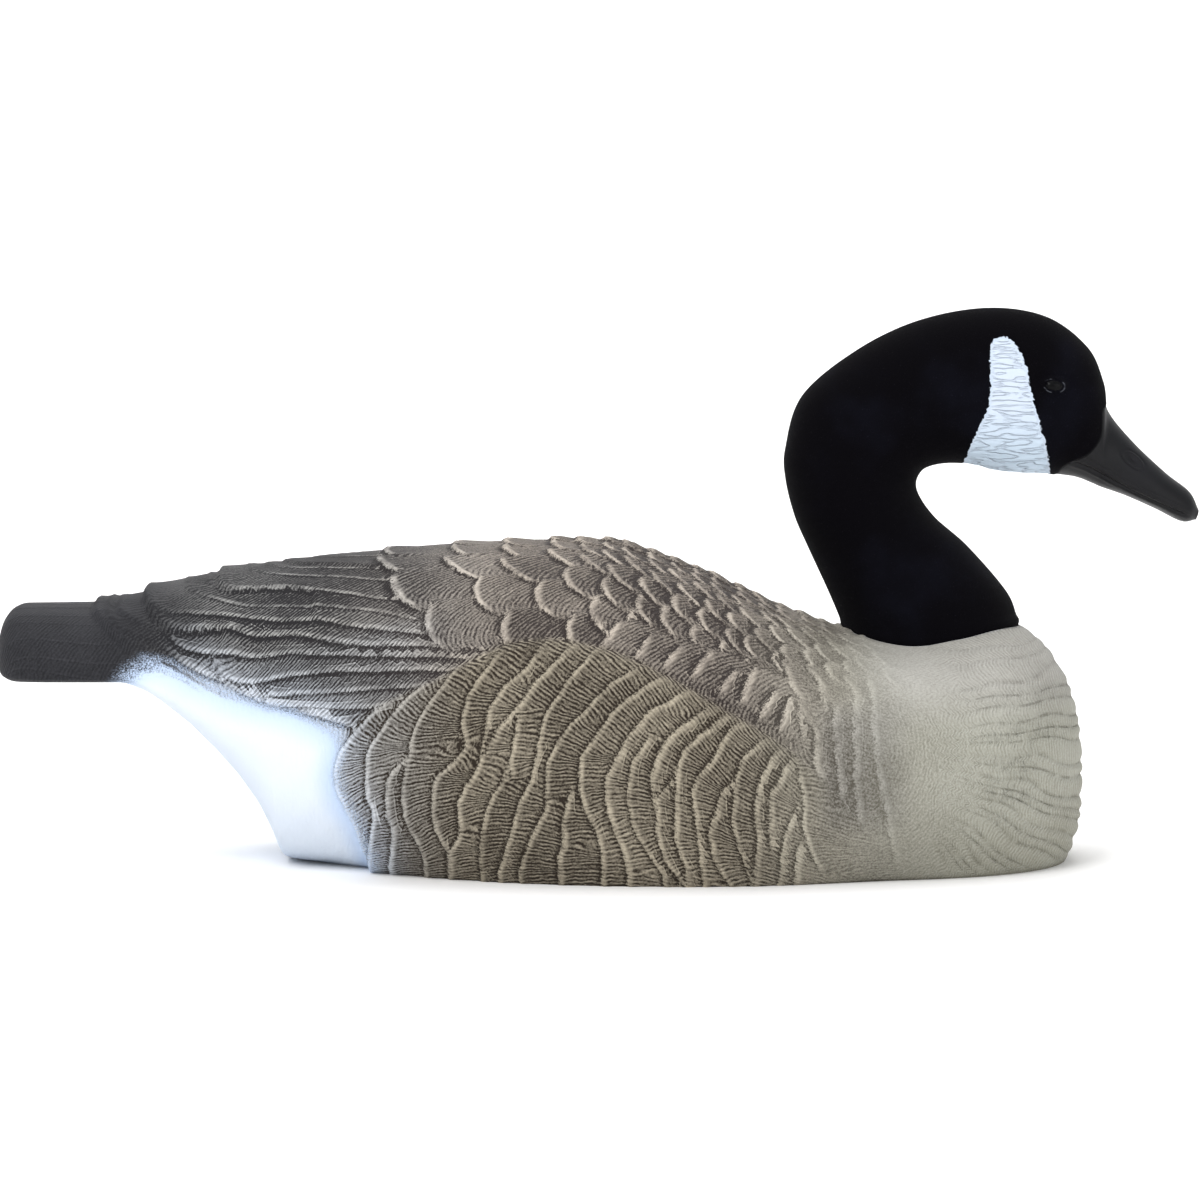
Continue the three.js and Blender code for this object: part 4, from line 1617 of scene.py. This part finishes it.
    def build(self) -> Piece:
        """The whole piece.

        Returns:
            The object.
        """
        mesh = self.shell("goose_head", self.places(self.rows, 1.0, -self.inset))
        self.refine(mesh)
        self.carve(mesh)
        self.split(mesh)
        mesh.update()
        return stand("goose_head", mesh)


@dataclass(frozen=True)
class Oval:
    """A small oval on the side of the head."""

    x: float
    z: float
    long: float
    high: float
    tilt: float

    def local(self, x: Array, z: Array) -> tuple[Array, Array]:
        """Place along and across the oval.

        Args:
            x: X of each place.
            z: Height of each place.

        Returns:
            Both distances in metres.
        """
        dx, dz = x - self.x, z - self.z
        c, s = math.cos(self.tilt), math.sin(self.tilt)
        return dx * c - dz * s, dx * s + dz * c

    def radius(self, x: Array, z: Array) -> Array:
        """0 in the middle and 1 on the outline."""
        u, v = self.local(x, z)
        return np.hypot(u / (self.long / 2), v / (self.high / 2))

    def depth(self, x: Array, z: Array) -> Array:
        """Rough distance inside the outline."""
        return (1 - self.radius(x, z)) * self.high / 2


@dataclass(frozen=True)
class Eye(Oval):
    """A bulging eye between two lids."""

    bulge: float = 2.0 * MM
    lid: float = 0.75 * MM
    crease: float = 0.2 * MM
    socket: float = 0.5 * MM

    def relief(self, x: Array, z: Array) -> Array:
        """Height of the ball, of the crease and the lids round it, and of the socket.

        Args:
            x: X of each place.
            z: Height of each place.

        Returns:
            Height in metres.
        """
        e = self.radius(x, z)
        ball = self.bulge * np.sqrt(np.clip(1 - e * e, 0, 1))
        lids = self.lid * bell(e, 1.28, 0.20) - self.crease * bell(e, 1.0, 0.10)
        return ball + (lids - self.socket * bell(e, 1.95, 0.45))


@dataclass(frozen=True)
class Nostril(Oval):
    """A long shallow nostril with a raised ring and a sunken one round it."""

    sunk: float = 1.1 * MM
    ring: float = 0.30 * MM
    groove: float = 0.40 * MM

    def relief(self, x: Array, z: Array) -> Array:
        """Depth of the nostril and height of its rings.

        Args:
            x: X of each place.
            z: Height of each place.

        Returns:
            Height in metres.
        """
        e = self.radius(x, z)
        rings = self.ring * bell(e, 0.80, 0.15) - self.groove * bell(e, 1.15, 0.15)
        return rings - self.sunk * bell(e, 0.0, 0.45)


@dataclass(frozen=True)
class Mouth:
    """The line between the two halves of the bill, a faint one above it and a lip below it."""

    line: tuple[Pair, ...]
    cut: float = 0.95 * MM
    half_width: float = 0.95 * MM
    faint: float = 0.28 * MM
    lip: float = 0.30 * MM
    step: float = 0.35 * MM

    def relief(self, x: Array, z: Array) -> Array:
        """Depth of both lines, height of the lip, and the slight step of the lower half.

        Args:
            x: X of each place.
            z: Height of each place.

        Returns:
            Height in metres.
        """
        off = z - traced(self.line)(x)
        start = self.line[0][0] * MM
        on = window(x, start - 1 * MM, start + 4 * MM, 0.327, 0.335)
        lines = -self.cut * bell(off, 0.0, self.half_width)
        lines = lines - self.faint * bell(off, 4.6 * MM, 0.7 * MM)
        lip = self.lip * bell(off, -2.4 * MM, 1.0 * MM)
        return on * (lines + lip - self.step * ramp(0.4 * MM, -0.4 * MM, off))


EYE = Eye(x=0.2535, z=0.2684, long=10.0 * MM, high=6.4 * MM, tilt=0.10)
NOSTRIL = Nostril(x=0.3005, z=0.2268, long=14.5 * MM, high=6.6 * MM, tilt=0.66)
MOUTH = Mouth(((262, 226.5), (274, 222), (288, 214.7), (305, 205.8), (319, 199.7), (333, 194.5)))


# Finishes.

Socket = bpy.types.NodeSocket
Sockets = bpy.types.NodeInputs | bpy.types.NodeOutputs
Feed = Socket | float | tuple
FLOAT, VECTOR = "NodeSocketFloat", "NodeSocketVector"


class Nodes:
    """Adds nodes to one tree and joins them."""

    def __init__(self, tree: Tree) -> None:
        """Keeps the tree and empties it."""
        self.tree = tree
        tree.nodes.clear()

    def join(self, value: Feed, socket: Socket) -> None:
        """Feeds a socket from another one, or sets its own value.

        Args:
            value: A socket or a value.
            socket: What it feeds.
        """
        if isinstance(value, Socket):
            self.tree.links.new(value, socket)
        else:
            socket.default_value = value

    def add(self, kind: str, inputs: dict | None = None, **settings: object) -> bpy.types.Node:
        """Adds one node.

        Args:
            kind: Blender's name of the node.
            inputs: Values or sockets for its inputs, by name or number.
            settings: Properties of the node.

        Returns:
            The node.
        """
        node = self.tree.nodes.new(kind)
        for key, value in settings.items():
            setattr(node, key, value)
        for key, value in (inputs or {}).items():
            self.join(value, node.inputs[key])
        return node

    def math(self, operation: str, first: Feed, second: Feed = 0.0, clamp: bool = False) -> Socket:
        """One sum on two numbers."""
        inputs = {0: first, 1: second}
        return self.add("ShaderNodeMath", inputs, operation=operation, use_clamp=clamp).outputs[0]

    def times(self, first: Feed, second: Feed) -> Socket:
        """Product of two numbers."""
        return self.math("MULTIPLY", first, second)

    def minus(self, first: Feed, second: Feed) -> Socket:
        """First number less the second."""
        return self.math("SUBTRACT", first, second)

    def total(self, *values: Feed) -> Socket:
        """Sum of several numbers.

        Args:
            values: Sockets or numbers.

        Returns:
            The result's socket.
        """
        result = values[0]
        for value in values[1:]:
            result = self.math("ADD", result, value)
        return result

    def step(self, value: Feed, low: float, high: float,
             to: Pair = (0.0, 1.0)) -> Socket:
        """Smooth step of a value between two limits.

        Args:
            value: The value.
            low: Where the step starts.
            high: Where it ends, below low for a step that goes the other way.
            to: What it gives at both.

        Returns:
            The result's socket.
        """
        inputs = dict(zip(("Value", "From Min", "From Max", "To Min", "To Max"),
                          (value, low, high, *to)))
        return self.add("ShaderNodeMapRange", inputs, interpolation_type="SMOOTHSTEP").outputs[0]

    def blend(self, share: Feed, first: Feed, second: Feed) -> Socket:
        """Mix of two colours, each a socket or a colour of three numbers.

        Args:
            share: Share of the second.
            first: One colour.
            second: The other.

        Returns:
            The result's socket.
        """
        first, second = ((*c, 1) if isinstance(c, tuple) else c for c in (first, second))
        inputs = {0: share, 6: first, 7: second}
        return self.add("ShaderNodeMix", inputs, data_type="RGBA").outputs[2]

    def noise(self, place: Feed, scale: Feed, detail: float = 2.0, rough: float = 0.5) -> Socket:
        """Noise from 0 to 1 at a place."""
        inputs = {"Vector": place, "Scale": scale, "Detail": detail, "Roughness": rough}
        return self.add("ShaderNodeTexNoise", inputs).outputs[0]

    def mark(self, name: str, output: str = "Fac") -> Socket:
        """A mark of the mesh."""
        return self.add("ShaderNodeAttribute", attribute_name=name).outputs[output]

    def place(self) -> Socket:
        """Place on the object, in metres."""
        return self.add("ShaderNodeTexCoord").outputs["Object"]

    def group(self, tree: Tree, inputs: dict) -> Sockets:
        """Places a group, and gives back its outputs."""
        return self.add("ShaderNodeGroup", inputs, node_tree=tree).outputs


def new_group(name: str, inputs: dict[str, str],
              outputs: tuple[str, ...]) -> tuple[Nodes, Sockets, Sockets]:
    """An empty shader group with named sockets.

    Args:
        name: Name of the group.
        inputs: Kind of each input, by name.
        outputs: Names of the outputs, which are all numbers.

    Returns:
        The nodes of the group, what it is given, and what it puts out.
    """
    tree = bpy.data.node_groups.new(name, "ShaderNodeTree")
    for key, kind in inputs.items():
        tree.interface.new_socket(key, in_out="INPUT", socket_type=kind)
    for key in outputs:
        tree.interface.new_socket(key, in_out="OUTPUT", socket_type=FLOAT)
    nodes = Nodes(tree)
    return nodes, nodes.add("NodeGroupInput").outputs, nodes.add("NodeGroupOutput").inputs


def barbs_group() -> Tree:
    """Fine barbs that cross a feather, wavering and broken here and there.

    Returns:
        The group.
    """
    nodes, given, out = new_group(
        "Barbs", {"Row": VECTOR, "Place": VECTOR, "Period": FLOAT}, ("Relief",))
    row = nodes.add("ShaderNodeSeparateXYZ", {0: given["Row"]}).outputs
    waver = nodes.times(nodes.noise(given["Place"], 190.0), 2.6)
    phase = nodes.math("DIVIDE", nodes.total(row[0], waver), given["Period"])
    wave = nodes.math("SINE", nodes.times(phase, 2 * math.pi))
    along = nodes.add("ShaderNodeCombineXYZ", {
        0: nodes.times(phase, 0.9), 1: nodes.times(row[1], 0.16)})
    patchy = nodes.step(nodes.noise(along.outputs[0], 1.0), 0.33, 0.62, (0.12, 1.1))
    nodes.join(nodes.times(wave, patchy), out["Relief"])
    return nodes.tree


def airbrush_group() -> Tree:
    """Paint that thins out in fine specks towards the edge of its area.

    Returns:
        The group.
    """
    nodes, given, out = new_group(
        "Airbrush", {"Place": VECTOR, "Amount": FLOAT, "Grain": FLOAT}, ("Mask",))
    amount = given["Amount"]
    specks = nodes.noise(given["Place"], given["Grain"], 3.0, 0.7)
    spread = nodes.times(nodes.minus(specks, 0.5), 2.2)
    middle = nodes.times(amount, nodes.minus(1.0, amount))
    total = nodes.total(amount, nodes.times(spread, nodes.times(middle, 4.0)))
    nodes.join(nodes.step(total, 0.10, 0.90), out["Mask"])
    return nodes.tree


def grain_group() -> Tree:
    """Fine and broad grain of a moulded, painted or flocked surface.

    Returns:
        The group.
    """
    nodes, given, out = new_group("Grain", {"Place": VECTOR, "Scale": FLOAT}, ("Fine", "Broad"))
    nodes.join(nodes.noise(given["Place"], given["Scale"], 3.0, 0.65), out["Fine"])
    nodes.join(nodes.noise(given["Place"], 22.0, 3.0), out["Broad"])
    return nodes.tree


def edges_group() -> Tree:
    """Dry brushed line along a feather's free edge, and painted shadow in the hollow behind it.

    Returns:
        The group.
    """
    nodes, given, out = new_group(
        "Edges", {"Place": VECTOR, "Rim": FLOAT, "Fine": FLOAT}, ("Line", "Painted Shadow"))
    place, rim = given["Place"], given["Rim"]
    ragged = nodes.times(nodes.minus(given["Fine"], 0.5), 1.9)
    sway = nodes.times(nodes.minus(nodes.noise(place, 130.0), 0.5), 1.1)
    rough = nodes.total(rim, ragged, sway)
    line = nodes.times(nodes.step(rough, -0.25, 0.2), nodes.step(rough, 1.5, 0.7))
    # Wear breaks the brushed line here and there.
    wear_and_sheen = nodes.step(nodes.noise(place, 75.0, 4.0, 0.6), 0.34, 0.60, (0.35, 1.0))
    nodes.join(nodes.times(line, wear_and_sheen), out["Line"])
    # Painted shadow: a dark band in the hollow just behind each free edge.
    behind = nodes.times(nodes.step(rim, -1.6, -0.3), nodes.step(rim, 0.05, -0.2))
    nodes.join(behind, out["Painted Shadow"])
    return nodes.tree


def crease_group() -> Tree:
    """Sharp creases at each whole count.

    Returns:
        The group.
    """
    nodes, given, out = new_group(
        "Crease", {"Place": VECTOR, "Count": FLOAT, "Pitch": FLOAT}, ("Depth",))
    past = nodes.math("FRACT", nodes.total(given["Count"], 0.5))
    off = nodes.times(nodes.math("ABSOLUTE", nodes.minus(past, 0.5)), given["Pitch"])
    broken = nodes.step(nodes.noise(given["Place"], 80.0), 0.36, 0.62)
    nodes.join(nodes.times(nodes.step(off, 1.0, 0.0), broken), out["Depth"])
    return nodes.tree


@dataclass(frozen=True)
class Effects:
    """Groups that several finishes share."""

    barbs: Tree = field(default_factory=barbs_group)
    airbrush: Tree = field(default_factory=airbrush_group)
    grain: Tree = field(default_factory=grain_group)
    edges: Tree = field(default_factory=edges_group)
    crease: Tree = field(default_factory=crease_group)


@dataclass(frozen=True)
class Coat:
    """What a finish feeds its shader: colour, roughness, and a bump with its distance."""

    colour: Feed
    roughness: Feed
    height: Feed | None = None
    distance: float = 0.0


class Finish:
    """A material with one plain shader, whose coat each finish works out for itself."""

    name: ClassVar[str]
    fixed: ClassVar[dict]

    def coat(self, nodes: Nodes, effects: Effects) -> Coat:
        """Colour, roughness and fine relief, from the material's nodes and the groups."""
        raise NotImplementedError

    def material(self, effects: Effects) -> bpy.types.Material:
        """Builds the material.

        Args:
            effects: The shared groups.

        Returns:
            The material.
        """
        material = bpy.data.materials.new(self.name)
        material.use_nodes = True
        nodes = Nodes(material.node_tree)
        coat = self.coat(nodes, effects)
        inputs = {"Base Color": coat.colour, "Roughness": coat.roughness, **self.fixed}
        if coat.height:
            inputs["Normal"] = nodes.add("ShaderNodeBump", {
                "Height": coat.height, "Strength": 1.0, "Distance": coat.distance}).outputs[0]
        shader = nodes.add("ShaderNodeBsdfPrincipled", inputs)
        nodes.add("ShaderNodeOutputMaterial", {0: shader.outputs[0]})
        return material


@dataclass(frozen=True)
class PlumageFinish(Finish):
    """Matt paint over carved plumage: a dark ground, a brushed top coat and sprayed white."""

    name: ClassVar[str] = "feather_paint"
    fixed: ClassVar[dict] = {"Specular IOR Level": 0.12}
    period: float = 2.3
    barb_cover: float = 0.36
    line_cover: float = 0.62
    # How much the painted shadow behind each free edge darkens the paint.
    shadow_cover: float = -0.22
    # How much painted shade darkens the creases of the breast.
    crease_shade_cover: float = -0.20
    white: Colour = paint(219, 227, 237)
    # Bluish white of the painted shade on the rump.
    painted_shade_blue: Colour = paint(192, 210, 236)

    def coat(self, nodes: Nodes, effects: Effects) -> Coat:
        """Brushed and sprayed paint, with barbs, edge lines, and painted shade behind the edges
        and in the creases.
        """
        place = nodes.place()
        row = nodes.add("ShaderNodeUVMap", uv_map="barbs").outputs[0]
        barbs = nodes.group(effects.barbs, {
            "Row": row, "Place": place, "Period": self.period})["Relief"]
        grain = nodes.group(effects.grain, {"Place": place, "Scale": 900.0})
        fine = grain["Fine"]
        edges = nodes.group(effects.edges, {
            "Place": place, "Rim": nodes.mark("rim"), "Fine": fine})
        crease = nodes.group(effects.crease, {
            "Place": place, "Count": nodes.mark("fan"), "Pitch": nodes.mark("pitch"),
        })["Depth"]
        crease = nodes.times(crease, nodes.mark("fold"))
        combed = nodes.times(nodes.mark("comb"), nodes.step(barbs, 0.5, -0.5))
        line = nodes.times(edges["Line"], nodes.mark("light"))
        line = nodes.times(line, nodes.minus(1.0, combed))
        behind = nodes.times(edges["Painted Shadow"], nodes.mark("light"))
        wave = nodes.times(barbs, nodes.mark("barb"))
        # The share takes painted shadow behind free edges and painted shade in the breast's
        # creases.
        share = nodes.total(
            nodes.mark("cover"),
            nodes.times(nodes.minus(nodes.mark("tone"), 0.5), 0.14),
            nodes.times(wave, nodes.minus(self.barb_cover, nodes.times(line, 0.30))),
            nodes.step(grain["Broad"], 0.3, 0.7, (-0.07, 0.07)),
            nodes.times(nodes.step(fine, 0.3, 0.7, (-1.0, 1.0)), nodes.mark("speck")),
            nodes.times(line, self.line_cover),
            nodes.times(behind, self.shadow_cover),
            nodes.times(crease, self.crease_shade_cover),
        )
        colour = nodes.blend(nodes.math("ADD", share, 0.0, clamp=True),
                             nodes.mark("ground", "Color"), nodes.mark("brushed", "Color"))
        mask = nodes.group(effects.airbrush, {
            "Place": place, "Amount": nodes.mark("white"), "Grain": 1300.0})["Mask"]
        # The white turns to bluish painted shade along its border and low along the keel.
        white = nodes.blend(nodes.mark("shade"), self.white, self.painted_shade_blue)
        height = nodes.total(nodes.times(wave, 0.5), nodes.times(fine, 0.3),
                             nodes.times(line, 0.7), nodes.times(crease, -1.0))
        rough = nodes.step(fine, 0.2, 0.8, (0.58, 0.78))
        return Coat(nodes.blend(mask, colour, white), rough, height, 0.0006)


@dataclass(frozen=True)
class UndersideFinish(Finish):
    """Bare moulded plastic under the body."""

    name: ClassVar[str] = "bare_plastic"
    fixed: ClassVar[dict] = {"Specular IOR Level": 0.4}
    colour: Colour = paint(88, 82, 76)

    def coat(self, nodes: Nodes, effects: Effects) -> Coat:
        """Plain plastic, slightly blotched."""
        grain = nodes.group(effects.grain, {"Place": nodes.place(), "Scale": 500.0})
        darker = tuple(value * 0.8 for value in self.colour)
        colour = nodes.blend(nodes.step(grain["Broad"], 0.3, 0.7), darker, self.colour)
        return Coat(colour, 0.6, grain["Fine"], 0.0002)


@dataclass(frozen=True)
class FlockFinish(Finish):
    """Short black flock, with the border of the white cheek and of the bill."""

    name: ClassVar[str] = "black_flock"
    fixed: ClassVar[dict] = {
        "Sheen Weight": 0.02, "Sheen Roughness": 0.5, "Specular IOR Level": 0.03}
    black: Colour = paint(6, 5, 8)
    # Faint bluish painted sheen, laid on the black flock in smudges.
    wear_and_sheen: Colour = paint(16, 17, 26)
    white: Colour = paint(196, 208, 223)
    bill: Colour = paint(11, 11, 13)
    # Painted highlight along the lids of the eye.
    lid: Colour = paint(70, 72, 78)

    def coat(self, nodes: Nodes, effects: Effects) -> Coat:
        """Flock with faint bluish smudges of painted sheen, ragged borders and a thin line of
        painted highlight on the lids.
        """
        place = nodes.place()
        grain = nodes.group(effects.grain, {"Place": place, "Scale": 1500.0})
        sheen_smudge = nodes.step(grain["Broad"], 0.45, 0.8, (0.0, 0.55))
        ragged = nodes.total(
            nodes.times(nodes.minus(grain["Fine"], 0.5), 0.9),
            nodes.times(nodes.minus(nodes.noise(place, 420.0, 1.0), 0.42), 3.2))
        cheek = nodes.step(nodes.total(nodes.mark("cheek"), ragged), -0.22, 0.22)
        bill = nodes.step(nodes.mark("bill"), -0.15, 0.15)
        eye = nodes.mark("eye")
        # A thin broken line of painted highlight round the lids.
        lid = nodes.times(nodes.step(eye, -1.1, -0.7), nodes.step(eye, -0.25, -0.6))
        lid = nodes.times(lid, nodes.step(nodes.noise(place, 240.0), 0.42, 0.58))
        colour = nodes.blend(sheen_smudge, self.black, self.wear_and_sheen)
        for share, added in ((cheek, self.white), (bill, self.bill), (lid, self.lid)):
            colour = nodes.blend(share, colour, added)
        return Coat(colour, nodes.step(bill, 0.0, 1.0, (0.95, 0.5)), grain["Fine"], 0.0004)


@dataclass(frozen=True)
class CheekFinish(Finish):
    """White paint over the finely furrowed cheek."""

    name: ClassVar[str] = "white_cheek"
    fixed: ClassVar[dict] = {"Specular IOR Level": 0.25}
    white: Colour = paint(200, 211, 226)
    low: Colour = paint(196, 212, 227)
    # Painted shade in the furrows.
    furrow_shade: Colour = paint(176, 188, 203)

    def coat(self, nodes: Nodes, effects: Effects) -> Coat:
        """White paint with thin level furrows darkened by painted shade, clearer lower down."""
        place = nodes.place()
        grain = nodes.group(effects.grain, {"Place": place, "Scale": 1100.0})
        height = nodes.add("ShaderNodeSeparateXYZ", {0: place}).outputs[2]
        flat = nodes.add("ShaderNodeMapping", {0: place, 3: (75.0, 75.0, 360.0)}).outputs[0]
        waves = nodes.noise(flat, 1.0, 1.5)
        off = nodes.math("ABSOLUTE", nodes.minus(waves, 0.5))
        # Painted shade along the furrows, stronger lower down.
        furrow_shade = nodes.times(nodes.step(off, 0.045, 0.0),
                             nodes.step(height, 0.262, 0.236, (0.25, 0.8)))
        colour = nodes.blend(nodes.step(height, 0.262, 0.226), self.white, self.low)
        lines = nodes.total(nodes.step(off, 0.0, 0.07), nodes.times(waves, 0.4))
        relief = nodes.total(lines, nodes.times(grain["Fine"], 0.2))
        return Coat(nodes.blend(furrow_shade, colour, self.furrow_shade), 0.8, relief, 0.0008)


@dataclass(frozen=True)
class BillFinish(Finish):
    """Matt charcoal plastic of the bill."""

    name: ClassVar[str] = "bill_plastic"
    fixed: ClassVar[dict] = {"Specular IOR Level": 0.22}
    dark: Colour = paint(9, 9, 12)
    light: Colour = paint(17, 17, 21)

    def coat(self, nodes: Nodes, effects: Effects) -> Coat:
        """Charcoal plastic, slightly blotched in colour and gloss."""
        grain = nodes.group(effects.grain, {"Place": nodes.place(), "Scale": 1300.0})
        colour = nodes.blend(nodes.step(grain["Broad"], 0.3, 0.7), self.dark, self.light)
        rough = nodes.step(grain["Broad"], 0.3, 0.7, (0.42, 0.55))
        return Coat(colour, rough, grain["Fine"], 0.00015)


@dataclass(frozen=True)
class EyeFinish(Finish):
    """Dark eye with a faint gloss."""

    name: ClassVar[str] = "dark_eye"
    fixed: ClassVar[dict] = {
        "Coat Weight": 0.08, "Coat Roughness": 0.05, "Specular IOR Level": 0.06}
    colour: Colour = paint(4, 4, 5)

    def coat(self, nodes: Nodes, effects: Effects) -> Coat:
        """Nearly black, a little lighter in places."""
        grain = nodes.group(effects.grain, {"Place": nodes.place(), "Scale": 300.0})
        lighter = tuple(value * 1.5 for value in self.colour)
        return Coat(nodes.blend(grain["Broad"], self.colour, lighter), 0.45)


# The studio.


@dataclass
class Studio:
    """A pale sweep of floor and wall, soft lights and the camera."""

    distance: float = 2.2
    eye_height: float = 0.300
    aim_height: float = 0.1465
    view_width: float = 0.6816
    sensor: float = 36.0
    sweep_size: float = 14.0
    sweep_flat: float = 2.7
    sweep_radius: float = 1.2
    floor_colour: Colour = paint(251, 250, 249)

    def sweep(self) -> None:
        """Floor that curves up into a wall behind."""
        sweep = bmesh.new()
        bmesh.ops.create_grid(sweep, x_segments=2, y_segments=48, size=0.5)
        flat, radius = self.sweep_flat, self.sweep_radius
        quarter = radius * math.pi / 2
        for vert in sweep.verts:
            run = vert.co.y * self.sweep_size
            bend = min(max(run - flat, 0.0), quarter)
            y = min(run, flat) + radius * math.sin(bend / radius)
            z = radius * (1 - math.cos(bend / radius)) + max(run - flat - quarter, 0.0)
            vert.co = (vert.co.x * self.sweep_size, y, z)
        smooth_faces(sweep)
        floor = stand("studio_sweep", settle(sweep, bpy.data.meshes.new("studio_sweep")))
        material = bpy.data.materials.new("pale_floor")
        material.use_nodes = True
        shader = material.node_tree.nodes["Principled BSDF"]
        shader.inputs["Base Color"].default_value = (*self.floor_colour, 1)
        shader.inputs["Roughness"].default_value = 0.9
        shader.inputs["Specular IOR Level"].default_value = 0.1
        floor.data.materials.append(material)

    def light(self, name: str, place: Vector, size: float, power: float,
              target: Vector = Vector((0, 0, 0.1))) -> None:
        """One soft square light.

        Args:
            name: Name of the light.
            place: Where it stands.
            size: Length of its side.
            power: Its power in watts.
            target: What it is aimed at, the decoy unless given.
        """
        data = bpy.data.lights.new(name, "AREA")
        data.size = size
        data.energy = power
        lamp = stand(name, data)
        lamp.location = place
        lamp.visible_camera = False
        lamp.rotation_euler = (target - place).to_track_quat("-Z", "Y").to_euler()

    def camera(self) -> None:
        """The camera, level with the decoy and a little above it."""
        data = bpy.data.cameras.new("portrait")
        data.sensor_width = self.sensor
        drop = self.eye_height - self.aim_height
        data.lens = self.sensor * math.hypot(self.distance, drop) / self.view_width
        camera = stand("portrait", data)
        camera.location = (0, -self.distance, self.eye_height)
        camera.rotation_euler = (math.pi / 2 - math.atan2(drop, self.distance), 0, 0)
        bpy.context.scene.camera = camera

    def build(self) -> None:
        """Sets up the whole studio."""
        self.camera()
        self.sweep()
        self.light("key", Vector((-1.2, -1.9, 2.1)), 1.5, 54)
        self.light("fill", Vector((1.9, -2.0, 1.0)), 1.8, 16)
        self.light("top", Vector((0.0, 0.4, 2.4)), 1.8, 20)
        self.light("wall", Vector((0.0, 1.7, 2.6)), 2.0, 70, Vector((0.0, 3.8, 0.4)))
        world = bpy.data.worlds.new("pale_room")
        world.use_nodes = True
        back = world.node_tree.nodes["Background"]
        back.inputs["Color"].default_value = (0.95, 0.97, 1.0, 1)
        back.inputs["Strength"].default_value = 0.62
        bpy.context.scene.world = world
        bpy.context.scene.view_settings.view_transform = "Standard"


def cut_pocket(piece: Piece, cutter: Piece) -> None:
    """Cuts the seat of the neck out of the body, and removes the cutter.

    Args:
        piece: The body.
        cutter: The room that the plug of the neck takes.
    """
    cut = piece.modifiers.new("pocket", "BOOLEAN")
    cut.operation = "DIFFERENCE"
    cut.solver = "EXACT"
    cut.object = cutter
    graph = bpy.context.evaluated_depsgraph_get()
    mesh = bpy.data.meshes.new_from_object(
        piece.evaluated_get(graph), preserve_all_data_layers=True, depsgraph=graph)
    old = piece.data
    piece.modifiers.clear()
    piece.data = mesh
    bpy.data.meshes.remove(old)
    mesh.name = piece.name
    spare = cutter.data
    bpy.data.objects.remove(cutter)
    bpy.data.meshes.remove(spare)


def main() -> None:
    """Builds the decoy and its studio."""
    logging.basicConfig(level=logging.INFO, format="%(message)s")
    tail_x = float(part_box("body")[0][0])
    Studio().build()
    effects = Effects()
    plumage = Plumage()
    plumage.grow()
    form = BodyForm()
    body = BodyPiece(form, plumage, tail_x).build()
    maker = HeadPiece(HeadForm(), form, tail_x)
    for finish in (PlumageFinish(), UndersideFinish()):
        body.data.materials.append(finish.material(effects))
    cut_pocket(body, maker.cutter())
    LOG.info("body: %d feathers a side, %d faces", len(plumage.feathers), len(body.data.polygons))
    head = maker.build()
    for finish in (FlockFinish(), CheekFinish(), BillFinish(), EyeFinish()):
        head.data.materials.append(finish.material(effects))
    LOG.info("head: %d faces", len(head.data.polygons))
    for piece, node, slot in ((body, "body", "feathered_body"), (head, "head", "flocked_head")):
        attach(piece, "root")
        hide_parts(node)


if __name__ == "__main__":
    main()
